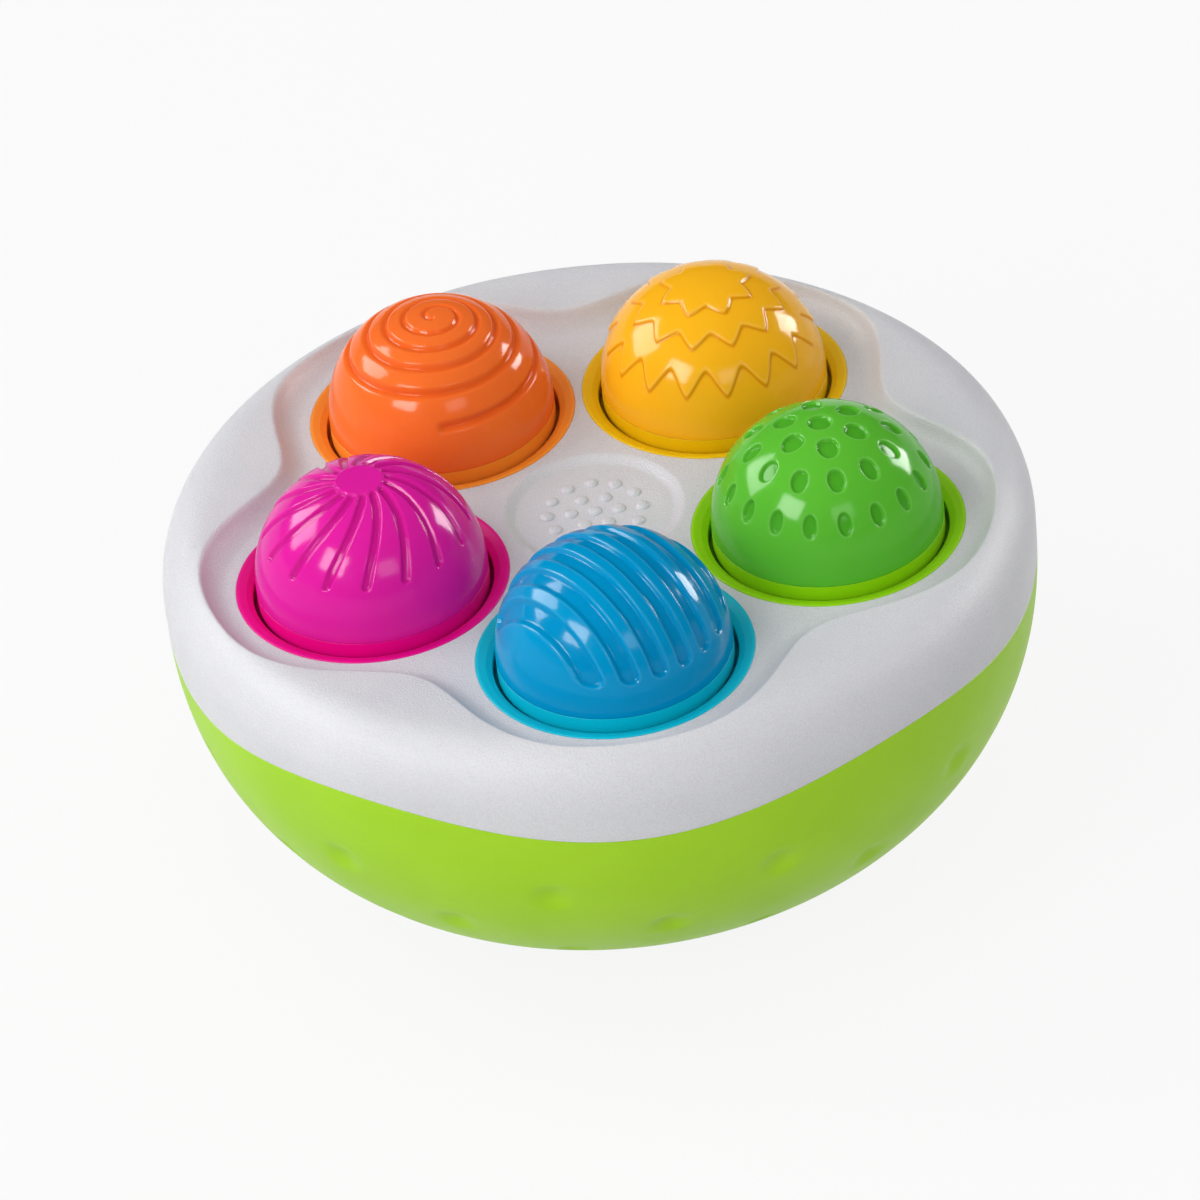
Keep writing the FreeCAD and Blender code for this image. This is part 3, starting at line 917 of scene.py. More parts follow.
@dataclass(frozen=True)
class SpiralGroove(Relief):
    """One groove that winds out from the crown, under a lip that grows with it."""

    # painted shade in the groove
    tint: float = 0.5
    depth: float = 0.75
    depth_gain: float = 0.06
    lip: float = 0.22
    centre: Pair = (1.4, -0.33)
    first: float = -90.0
    # Turns wound, as a polynomial in the polar angle in degrees
    wound: Tuple[float, ...] = (-0.1231850, 0.06195831, 0.002072445, -4.500339e-5, 2.650999e-7)
    start: float = 0.04
    end: float = 5.02
    width: float = 1.5
    width_gain: float = 0.45
    floor_share: float = 0.05
    upper_wall: float = 0.15
    lower_wall: float = 0.35
    start_turns: float = 0.03
    end_turns: float = 0.015
    lip_turns: Pair = (0.5, 1.5)

    def height(self, point: DomePoint) -> Field:
        """Height of the groove and its lip."""
        groove, shelf = self.parts(point)
        return groove * -1.0 - shelf * self.lip

    def recess(self, point: DomePoint) -> Field:
        """Painted shade in the groove."""
        return self.parts(point)[0] * self.tint

    def parts(self, point: DomePoint) -> Tuple[Field, Field]:
        """Depth of the groove, and share of the lip above it."""
        graph = point.graph
        x = point.x - self.centre[0]
        y = point.y - self.centre[1]
        polar = graph.math("ARCTAN2", graph.length(x, y), point.z) * math.degrees(1.0)
        turn = (graph.math("ARCTAN2", y, x) - math.radians(self.first)) / TAU
        count: Number = self.wound[-1]
        rate: Number = 0.0
        for factor in reversed(self.wound[:-1]):
            rate = polar * rate + count
            count = polar * count + factor
        phase = count + turn
        nearest = round(phase)
        path = nearest - turn
        side = (phase - nearest) / rate * (point.radius * math.radians(1.0))
        half = (path * self.width_gain + self.width) * 0.5
        upper = side.rise(half * -1.0 - self.upper_wall, half * self.floor_share)
        lower = side.fall(half * self.floor_share, half + self.lower_wall)
        real = path.rise(self.start, self.start + self.start_turns)
        real = real * path.fall(self.end - self.end_turns, self.end)
        depth = path * self.depth_gain + self.depth
        slope = (0.5 - (phase - nearest)) * (phase - nearest).above(0.0)
        shelf = slope * real * path.rise(*self.lip_turns)
        return upper * lower * real * depth, shelf


@dataclass(frozen=True)
class TwistedFlutes(Relief):
    """Narrow flutes that start at a flat crown and sweep round as they descend."""

    depth: float = 0.95
    wall: float = 0.22
    floor_share: float = 0.5
    count: int = 16
    first: float = -93.4
    end_polar: float = 62.4
    twist: Pair = (0.33, 0.0054)
    half_width: float = 1.22
    pitch_share: float = 0.33
    slant: float = 0.95
    start_plan: float = 7.6
    disc_radius: float = 6.5
    disc_level: float = 31.45
    disc_edge: Pair = (-0.35, 0.25)
    # Shares of a flute's depth at which the painted highlight along its edge is strongest and ends
    painted_highlight_depths: Pair = (0.12, 0.5)

    def flutes(self, point: DomePoint) -> Field:
        """Share of the flutes' full depth, outside the flat crown."""
        graph = point.graph
        left = (self.end_polar - point.polar * math.degrees(1.0)).at_least(0.0)
        swept = (left * self.twist[1] + self.twist[0]) * left
        turns = (point.azimuth - (swept + self.first) * math.radians(1.0)) * (self.count / TAU)
        side = (turns - round(turns)) * (TAU / self.count) * point.plan * self.slant
        half = (point.plan * (TAU / self.count * self.pitch_share)).at_most(self.half_width)
        end = math.radians(self.end_polar) - self.half_width / point.radius
        beyond = ((point.polar - end) * point.radius).at_least(0.0)
        before = (self.start_plan - point.plan).at_least(0.0)
        away = graph.length(side, beyond + before)
        return away.fall(half * self.floor_share, half + self.wall) * (1.0 - self.disc(point))

    def disc(self, point: DomePoint) -> Field:
        """Share of the flat crown."""
        low, high = self.disc_edge
        return point.plan.fall(self.disc_radius + low, self.disc_radius + high)

    def height(self, point: DomePoint) -> Field:
        """Height of the flutes and of the flat crown."""
        flat = self.disc_level / point.z.at_least(1.0) * point.distance - point.distance
        return flat * self.disc(point) - self.flutes(point) * self.depth

    def recess(self, point: DomePoint) -> Field:
        """Painted shade in the flutes and a painted highlight along their edges."""
        share = self.flutes(point)
        most, end = self.painted_highlight_depths
        # pale: the painted highlight along each flute's edge
        pale = share.rise(0.0, most) * share.fall(most, end)
        return share * self.tint - pale * self.rim


RELIEFS: Dict[Colour, Relief] = {
    Colour.BLUE: StraightChannels(),
    Colour.GREEN: PitRings(),
    Colour.YELLOW: ZigzagLayers(),
    Colour.ORANGE: SpiralGroove(),
    Colour.MAGENTA: TwistedFlutes(),
}


@dataclass(frozen=True)
class Corner:
    """A corner of a turned section: radius, level and the radius of its rounding."""

    r: float
    z: float
    fillet: float = 0.0


def rounded(corners: Sequence[Corner], chords: int = 5, most: float = 0.45,
            spare: float = 0.12, straight: float = 88.0) -> List[Pair]:
    """Rounds the corners of a closed section.

    Args:
        corners: The section's corners in order.
        chords: Number of chords in a rounded corner.
        most: Most of a side that a rounding may take.
        spare: Distance of the point beside a rounding, as a share of the rounding's reach.
        straight: Half angle past which a corner is left as it is.

    Returns:
        Points of the section, with one just before and after each rounding.
    """
    points: List[Pair] = []
    for i, corner in enumerate(corners):
        here = Vector((corner.r, corner.z))
        back = Vector((corners[i - 1].r, corners[i - 1].z)) - here
        ahead = corners[(i + 1) % len(corners)]
        on = Vector((ahead.r, ahead.z)) - here
        half = back.angle(on) / 2.0
        if corner.fillet <= 0.0 or half > math.radians(straight):
            points.append((corner.r, corner.z))
            continue
        reach = min(corner.fillet / math.tan(half), back.length * most, on.length * most)
        start, end = here + back.normalized() * reach, here + on.normalized() * reach
        points.append(tuple(start + back.normalized() * (reach * spare)))
        for k in range(chords + 1):
            t = k / chords
            points.append(tuple(start.lerp(here, t).lerp(here.lerp(end, t), t)))
        points.append(tuple(end + on.normalized() * (reach * spare)))
    return points


def turned(name: str, section: Sequence[Pair], sides: int, material: bpy.types.Material,
           centre: Vector = Vector(), closed: bool = True) -> bpy.types.Object:
    """Makes a solid or a sheet of revolution.

    Args:
        name: The piece's name.
        section: Points of (radius, level).
        sides: Number of faces round the axis.
        material: The finish.
        centre: Where the axis and level nought are, in millimetres.
        closed: Whether the section's last point joins its first.

    Returns:
        The finished piece.
    """
    rows = len(section)
    turns = [(math.cos(TAU * k / sides), math.sin(TAU * k / sides)) for k in range(sides)]
    spots = [((centre.x + r * c) * MM, (centre.y + r * s) * MM, (centre.z + z) * MM)
             for c, s in turns for r, z in section]
    faces = []
    for k in range(sides):
        a, b = k * rows, (k + 1) % sides * rows
        for i in range(rows if closed else rows - 1):
            j = (i + 1) % rows
            faces.append((a + i, b + i, b + j, a + j))
    mesh = bpy.data.meshes.new(name)
    mesh.from_pydata(spots, [], faces)
    mesh.materials.append(material)
    close_poles(mesh)
    mesh.polygons.foreach_set("use_smooth", [True] * len(mesh.polygons))
    return shown(name, mesh)


def close_poles(mesh: bpy.types.Mesh) -> None:
    """Merges vertices that share a place and turns all faces outwards."""
    work = bmesh.new()
    work.from_mesh(mesh)
    bmesh.ops.remove_doubles(work, verts=work.verts, dist=MERGE)
    bmesh.ops.dissolve_degenerate(work, edges=work.edges, dist=MERGE / 10.0)
    bmesh.ops.recalc_face_normals(work, faces=work.faces)
    work.to_mesh(mesh)
    work.free()


@dataclass
class Peg:
    """One coloured peg with its socket: dome, skirt and socket.

    Levels are from the deck, and radii from the peg's axis.
    """

    colour: Colour
    effects: Effects
    columns: int = 600
    outer_rows: int = 146
    lip_rows: int = 5
    inner_rows: int = 10
    power: float = 2.08
    wall: float = 2.4
    lip: float = 0.15
    foot_level: float = 2.0
    band_r: float = 31.75
    spigot_r: float = 28.8
    spigot_in_r: float = 26.7
    spigot_top: float = 5.0
    hub_r: float = 9.0
    hub_bore_r: float = 6.1
    hub_top: float = -2.5
    hub_low: float = -14.0
    mouth_r: float = 32.9
    flange_r: float = 37.4
    flange_low: float = -1.8
    neck_r: float = 35.5
    floor_in_r: float = 12.5
    floor_level: float = -17.45
    under_level: float = -19.95
    rim_r: float = 9.6
    tube_r: float = 7.2
    tube_bore_r: float = 5.05
    tube_top: float = -16.5
    tube_floor: float = -31.0
    tube_low: float = -33.0
    skirt_sides: int = 160
    socket_sides: int = 180
    centre: Vector = field(init=False)
    radius: float = field(init=False)
    rise: float = field(init=False)

    def __post_init__(self) -> None:
        """Reads the peg's place and size from the frame."""
        low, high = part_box(self.node("dome"))
        middle = (low + high) / 2.0
        deck = low.z / MM - self.foot_level
        self.centre = Vector((middle.x / MM, middle.y / MM, deck))
        self.radius = (high.x - low.x) / 2.0 / MM
        self.rise = (high.z - low.z) / MM

    def node(self, piece: str) -> str:
        """Name of one of this peg's nodes."""
        return f"{self.colour.value}_{piece}"

    def gloss(self) -> bpy.types.Material:
        """Polished plastic of the dome."""
        palette = PALETTES[self.colour]
        # the dome's colour takes its relief's painted shade and painted highlight
        finish = Plastic(
            self.node("polished_plastic"), palette.dome, palette.dome_deep, Grain.POLISHED,
            roughness=0.11, smears=0.03, scratches=0.1, drift=0.16, speck=0.03, glow=0.12,
            paints_shade_and_highlight=True, sheen_level=0.12)
        return finish.material(self.effects, self.centre * MM)

    def satin(self) -> bpy.types.Material:
        """Satin plastic of the ring and the skirt."""
        palette = PALETTES[self.colour]
        finish = Plastic(
            self.node("satin_plastic"), palette.ring, palette.ring_deep, Grain.SATIN,
            roughness=0.36, smears=0.08, scratches=0.1, drift=0.25, glow=0.06)
        return finish.material(self.effects, self.centre * MM)

    def dome(self, material: bpy.types.Material) -> bpy.types.Object:
        """Makes the hollow dome with its relief."""
        relief = RELIEFS[self.colour]
        tree = SurfaceTree(self.node("dome_surface"), {
            "Centre X": self.centre.x, "Centre Y": self.centre.y,
            "Foot Level": self.centre.z + self.foot_level, "Radius": self.radius,
            "Height": self.rise - relief.crown, "Wall": self.wall, "Lip": self.lip,
            "Section Power": self.power, "Columns": self.columns}, material)
        rows = self.outer_rows + self.lip_rows + self.inner_rows
        grid, azimuth, row = tree.sheet(tree.size("Columns"), rows)
        outer_end = self.outer_rows - 1
        lip_end = outer_end + self.lip_rows
        point = self.outside(tree, azimuth, tree.along(row, 0.0, outer_end))
        grown = (point.distance + relief.height(point)) / point.distance.at_least(1.0)
        plan, high = tree.joined(row, (point.plan * grown, point.z * grown), [
            (outer_end, self.edge(tree, tree.along(row, outer_end, self.lip_rows))),
            (lip_end, self.inside(tree, tree.along(row, lip_end, self.inner_rows)))])
        # painted shade in the relief's cuts and painted highlight round them, kept as an attribute
        # for the colour; none on the lip or the inside
        deep = relief.recess(point) * (1.0 - row.above(outer_end + ROW_SLACK))
        kept = tree.make("GeometryNodeStoreNamedAttribute", {
            "Geometry": grid, "Name": "recess", "Value": deep})
        body = tree.wrapped(kept, plan, azimuth, high + tree.size("Foot Level"),
                            (tree.size("Centre X"), tree.size("Centre Y")))
        return tree.run(self.node("relief_dome"), tree.smooth(body))

    def outside(self, tree: SurfaceTree, azimuth: Field, share: Field) -> DomePoint:
        """Point of the plain dome, at a share of the way from the crown to the foot."""
        radius = tree.size("Radius")
        polar = tree.math("ARCCOSINE", tree.size("Lip") / radius) * share
        distance = self.reach(tree, polar, radius, tree.size("Height"))
        plan, high = distance * tree.sine(polar), distance * tree.cosine(polar)
        return DomePoint(tree, plan * tree.cosine(azimuth), plan * tree.sine(azimuth), high,
                         plan, azimuth, polar, distance, self.radius)

    @staticmethod
    def edge(tree: SurfaceTree, share: Field) -> Place:
        """Radius and height of the blunt edge at the foot, from the outside inwards."""
        wall, lip = tree.size("Wall"), tree.size("Lip")
        turn = share * math.pi
        cosine = tree.cosine(turn)
        square = tree.math("SIGN", cosine) * abs(cosine) ** 0.5
        radius = tree.size("Radius") - wall * 0.5 + wall * 0.5 * square
        return radius, lip * (1.0 - abs(tree.sine(turn)) ** 0.5)

    def inside(self, tree: SurfaceTree, share: Field) -> Place:
        """Radius and height of the dome's inside, from the foot to the crown."""
        radius = tree.size("Radius") - tree.size("Wall")
        rise = tree.size("Height") - tree.size("Wall")
        polar = tree.math("ARCCOSINE", tree.size("Lip") / radius) * (1.0 - share)
        distance = self.reach(tree, polar, radius, rise)
        return distance * tree.sine(polar), distance * tree.cosine(polar)

    def reach(self, tree: SurfaceTree, polar: Field, radius: Number, rise: Number) -> Field:
        """Distance from the foot's centre to the dome's section at a polar angle."""
        power = tree.size("Section Power")
        wide = abs(tree.sine(polar) / radius) ** power
        tall = abs(tree.cosine(polar) / rise) ** power
        return (wide + tall) ** (-1.0 / power)

    def skirt(self, material: bpy.types.Material) -> bpy.types.Object:
        """Makes the peg's lower half: band, cone, hub and the spigot for the dome."""
        corners = [
            Corner(self.band_r, self.foot_level, 0.12), Corner(self.band_r, -3.2, 0.6),
            Corner(30.2, -3.9, 0.6), Corner(12.0, -12.5, 0.8),
            Corner(self.hub_r, self.hub_low, 0.6), Corner(self.hub_bore_r, self.hub_low, 0.3),
            Corner(self.hub_bore_r, self.hub_top, 0.3), Corner(self.hub_r, self.hub_top, 0.4),
            Corner(self.hub_r, -11.5, 0.8), Corner(self.spigot_in_r, -2.65, 0.8),
            Corner(self.spigot_in_r, self.spigot_top, 0.4),
            Corner(self.spigot_r, self.spigot_top, 0.4), Corner(self.spigot_r, self.foot_level)]
        return turned(self.node("cone_skirt"), rounded(corners), self.skirt_sides, material,
                      self.centre)

    def socket(self, material: bpy.types.Material) -> bpy.types.Object:
        """Makes the cup let into the deck: dished flange, conical floor and tube."""
        corners = [
            Corner(self.flange_r, self.flange_low), Corner(self.flange_r, 0.2, 0.25),
            Corner(36.6, 0.2, 0.8), Corner(34.6, -0.5, 1.2),
            Corner(self.mouth_r, -1.6, 0.5), Corner(self.mouth_r, -6.5, 0.8),
            Corner(31.0, -8.2, 0.9), Corner(self.floor_in_r, self.floor_level, 0.8),
            Corner(self.rim_r, self.floor_level, 0.3), Corner(self.rim_r, self.tube_top, 0.3),
            Corner(self.tube_bore_r, self.tube_top, 0.4),
            Corner(self.tube_bore_r, self.tube_floor, 0.4),
            Corner(0.0, self.tube_floor), Corner(0.0, self.tube_low),
            Corner(self.tube_r, self.tube_low, 0.5), Corner(self.tube_r, self.under_level, 0.5),
            Corner(self.floor_in_r, self.under_level, 0.5), Corner(31.9, -10.25, 0.5),
            Corner(34.3, -7.2, 0.5), Corner(self.neck_r, -2.4),
            Corner(self.neck_r, self.flange_low)]
        return turned(self.node("ring_socket"), rounded(corners), self.socket_sides, material,
                      self.centre)

    def build(self) -> List[bpy.types.Object]:
        """Makes this peg's pieces, gives each its body and hides the node that it stands for."""
        gloss, satin = self.gloss(), self.satin()
        name = self.colour.value
        pieces = [self.dome(gloss), self.skirt(satin), self.socket(satin)]
        places = [(name + "_head", "dome", "_gloss"), (name + "_head", "skirt", "_satin"),
                  ("base", "socket", "_satin")]
        for piece, (body, part, slot) in zip(pieces, places):
            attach(piece, body)
            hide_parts(self.node(part))
            name + slot
        return pieces


@dataclass(frozen=True)
class Seam:
    """Wavy line where the shell stands on the bowl, with a rounded edge on either side."""

    body_r: float = 120.4
    wall: float = 3.0
    level: float = 88.3
    wave: float = 3.25
    gap: float = 0.02
    rounding: float = 0.2
    rows: int = 4

    def edge(self, tree: SurfaceTree, azimuth: Field, side: int) -> Field:
        """Level of the edge: side is 1 for the shell's and -1 for the bowl's."""
        lobe = tree.cosine((azimuth - math.radians(FRONT)) * LOBES)
        return tree.size("Seam Level") - lobe * self.wave + side * self.gap

    def lip(self, tree: SurfaceTree, row: Field, start: int, edge: Field, side: int) -> Place:
        """Rows that round the edge and cross the end of the wall.

        Args:
            tree: The tree that is being built.
            row: The row's number.
            start: The last row before the edge.
            edge: Level of the edge.
            side: 1 for the shell and -1 for the bowl.

        Returns:
            Radius and level.
        """
        quarter = tree.along(row, start, self.rows - 1) * (math.pi / 2.0)
        across = tree.along(row, start + self.rows - 1, 1.0)
        radius = self.body_r - self.rounding + tree.cosine(quarter) * self.rounding
        radius = radius - across * (self.wall - self.rounding)
        level = edge + side * self.rounding - tree.sine(quarter) * (side * self.rounding)
        return radius, level


SEAM = Seam()


@dataclass
class Shell:
    """White upper shell: shoulder, rim, five-lobed pocket, beaded dish and deck holes."""

    effects: Effects
    columns: int = 400
    rim_r: float = 106.6
    rim_level: float = 111.1
    shoulder_level: float = 94.3
    land_in_r: float = 78.0
    land_drop: float = 1.2
    deck_level: float = 105.5
    deck_wall: float = 3.5
    pocket_mean: float = 101.7
    pocket_waves: Tuple[float, ...] = (10.9, -2.2)
    wall_rise: float = 3.8
    wall_sweep: float = 7.0
    crest_round: float = 2.6
    dish_r: float = 23.4
    dish_depth: float = 1.6
    dish_slope: float = 4.0
    peg_ring_r: float = 65.5
    recess_r: float = 37.42
    recess_depth: float = 1.8
    hole_r: float = 35.6
    hole_bevel: float = 0.12
    hole_sides: int = 180
    bead_r: float = 2.0
    bead_h: float = 1.0
    bead_sides: int = 28
    bead_rings: Tuple[Tuple[float, int], ...] = ((0.0, 1), (6.6, 6), (13.2, 12))
    outer_end: float = 115.0    # radius at which the deck's rows end and the shoulder's start
    cut_reach: float = 12.0     # how far the deck's cutters reach above and below it
    # Radial distances from the dish's edge and the pocket's outline at which the rows change
    dish_reach: float = 2.6
    pocket_reach: Pair = (-8.5, 3.2)
    ceiling_reach: Pair = (-8.0, 1.0)
    # Faces in each stretch of the deck, from the middle outwards, and of the shoulder
    spans: Tuple[int, ...] = (4, 16, 10, 52, 6)
    shoulder_rows: int = 16
    upright_rows: int = 4
    inner_rows: Tuple[int, ...] = (4, 10)
    ceiling_spans: Tuple[int, ...] = (4, 11, 3)

    def material(self) -> bpy.types.Material:
        """White plastic with a fine leather grain."""
        finish = Plastic(
            "white_grained_plastic", "D5D5D8", "C4C4CC", Grain.SPARK, roughness=0.36,
            smears=0.05, scratches=0.05, drift=0.3, speck=0.4, sheen_level=0.14)
        return finish.material(self.effects)

    def body_level(self, tree: SurfaceTree, radius: Field) -> Field:
        """Level of the land and shoulder at a radius, without the pocket."""
        inward = ((self.rim_r - radius) / (self.rim_r - self.land_in_r)).within(0.0, 1.0)
        outward = ((radius - self.rim_r) / (SEAM.body_r - self.rim_r)).within(0.0, 1.0)
        land = self.rim_level - inward * inward * self.land_drop
        drop = 1.0 - tree.root(1.0 - outward * outward)
        return land - drop * (self.rim_level - self.shoulder_level)

    def top_level(self, tree: SurfaceTree, radius: Field, edge: Field, lean: Field) -> Field:
        """Level of the whole upper surface.

        Args:
            tree: The tree that is being built.
            radius: Radius of the point.
            edge: Radius of the pocket's outline at the point's azimuth.
            lean: Cosine of the angle between the outline's normal and the radius.

        Returns:
            The level.
        """
        sweep = self.wall_sweep
        reach = math.sqrt(sweep ** 2 - (sweep - self.wall_rise) ** 2)
        slope = reach / (sweep - self.wall_rise)
        out = (radius - edge) * lean + reach
        bent = out.within(0.0, reach)
        curve = sweep - tree.root(sweep * sweep - bent * bent)
        pocket = curve + (out - reach).at_least(0.0) * slope + self.deck_level
        top = tree.math("SMOOTH_MIN", self.body_level(tree, radius), pocket, self.crest_round)
        half = self.dish_slope / 2.0
        dish = radius.fall(self.dish_r - half, self.dish_r + half)
        return top - dish * self.dish_depth

    @staticmethod
    def spread(tree: SurfaceTree, row: Field, knots: Sequence[Number],
               counts: Sequence[int]) -> Field:
        """Radius of a row: straight stretches between knots, each with its count of faces."""
        radius: Number = knots[0]
        start = 0
        for low, high, count in zip(knots, knots[1:], counts):
            radius = tree.along(row, start, count) * (high - low) + radius
            start += count
        return radius

    def outline(self, tree: SurfaceTree, azimuth: Field) -> Tuple[Field, Field]:
        """Radius of the pocket's outline, and the cosine of its slant against the radius."""
        turn = azimuth - math.radians(FRONT)
        edge = tree.size("Pocket Radius")
        swing: Number = 0.0
        for k, height in enumerate(self.pocket_waves):
            waves = (k + 1) * LOBES
            edge = edge + tree.cosine(turn * waves) * height
            swing = tree.sine(turn * waves) * (waves * height) + swing
        return edge, 1.0 / tree.length(swing / edge, 1.0)

    def shoulder(self, tree: SurfaceTree, share: Field, upright: Field, foot: Field) -> Place:
        """Outside of the shoulder and of the upright wall below it.

        Args:
            tree: The tree that is being built.
            share: Share of the shoulder that is passed.
            upright: Share of the upright wall that is passed.
            foot: Level at which the upright wall ends.

        Returns:
            Radius and level.
        """
        wide, tall = SEAM.body_r - self.rim_r, self.rim_level - self.shoulder_level
        first = math.acos((self.outer_end - self.rim_r) / wide)
        angle = (1.0 - share) * first
        level = tree.sine(angle) * tall + self.shoulder_level
        return (tree.cosine(angle) * wide + self.rim_r,
                level + (foot - self.shoulder_level) * upright)

    def lining(self, tree: SurfaceTree, upright: Field, share: Field, foot: Field) -> Place:
        """Inside of the upright wall and the shoulder, from the foot upwards."""
        wide = SEAM.body_r - self.rim_r - SEAM.wall
        tall = self.rim_level - self.shoulder_level - SEAM.wall
        last = math.acos((self.outer_end - SEAM.wall - self.rim_r) / wide)
        angle = share * last
        level = foot + (self.shoulder_level - foot) * upright
        return tree.cosine(angle) * wide + self.rim_r, level + tree.sine(angle) * tall

    def surface(self, tree: SurfaceTree) -> bpy.types.NodeSocket:
        """Closed shell without its holes."""
        deck_rows = sum(self.spans)
        shoulder_end = deck_rows + self.shoulder_rows
        upright_end = shoulder_end + self.upright_rows
        lip_end = upright_end + SEAM.rows
        inner_upright_end = lip_end + self.inner_rows[0]
        inner_end = inner_upright_end + self.inner_rows[1]
        rows = inner_end + sum(self.ceiling_spans)
        grid, azimuth, row = tree.sheet(tree.size("Columns"), rows + 1)
        edge, lean = self.outline(tree, azimuth)
        foot = SEAM.edge(tree, azimuth, 1)

        deck_r = self.spread(tree, row, [
            0.0, self.dish_r - self.dish_reach, self.dish_r + self.dish_reach,
            edge + self.pocket_reach[0], edge + self.pocket_reach[1], self.outer_end], self.spans)
        ceiling_r = self.spread(tree, rows - row, [
            0.0, edge + self.ceiling_reach[0], edge + self.ceiling_reach[1],
            self.outer_end - SEAM.wall], self.ceiling_spans)
        ceiling_z = self.top_level(tree, ceiling_r, edge, lean) - self.deck_wall
        radius, level = tree.joined(row, (deck_r, self.top_level(tree, deck_r, edge, lean)), [
            (deck_rows, self.shoulder(
                tree, tree.along(row, deck_rows, self.shoulder_rows),
                tree.along(row, shoulder_end, self.upright_rows), foot + SEAM.rounding)),
            (upright_end, SEAM.lip(tree, row, upright_end, foot, 1)),
            (lip_end, self.lining(
                tree, tree.along(row, lip_end, self.inner_rows[0]),
                tree.along(row, inner_upright_end, self.inner_rows[1]), foot)),
            (inner_end, (ceiling_r, ceiling_z))])
        return tree.wrapped(grid, radius, azimuth, level)

    def cutters(self, tree: SurfaceTree) -> List[bpy.types.NodeSocket]:
        """What is cut from the deck at each peg: the hole, the recess and its bevel."""
        top = self.deck_level + self.cut_reach
        bevel, sides = self.hole_bevel, self.hole_sides
        plugs = [
            tree.plug(self.hole_r, self.deck_level - self.cut_reach, top, sides=sides),
            tree.plug(self.recess_r, self.deck_level - self.recess_depth, top, sides=sides),
            tree.plug(self.recess_r, self.deck_level - bevel, self.deck_level + CLEAR,
                      self.recess_r + bevel + CLEAR, sides=sides)]
        return [tree.ring_of(plug, len(Colour), self.peg_ring_r, FRONT, 0.0) for plug in plugs]

    def build(self) -> bpy.types.Object:
        """Makes the shell and gives it its place."""
        tree = SurfaceTree("shell_surface", {
            "Columns": self.columns, "Pocket Radius": self.pocket_mean,
            "Seam Level": SEAM.level}, self.material())
        shell = self.surface(tree)
        floor = self.deck_level - self.dish_depth
        ball = tree.make("GeometryNodeMeshUVSphere", {
            "Segments": self.bead_sides, "Rings": self.bead_sides // 2,
            "Radius": self.bead_r * MM})
        bead = tree.make("GeometryNodeTransform", {
            "Geometry": ball, "Scale": (1.0, 1.0, self.bead_h / self.bead_r)})
        beads = [tree.ring_of(bead, count, radius, 0.0, floor) for radius, count in self.bead_rings]
        shell = tree.weld([shell] + beads)
        for cutter in self.cutters(tree):
            shell = tree.cut(shell, [cutter])
        made = tree.run("pocket_shell", tree.smooth(shell, CREASE))
        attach(made, "base")
        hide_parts("upper_shell")
        return made


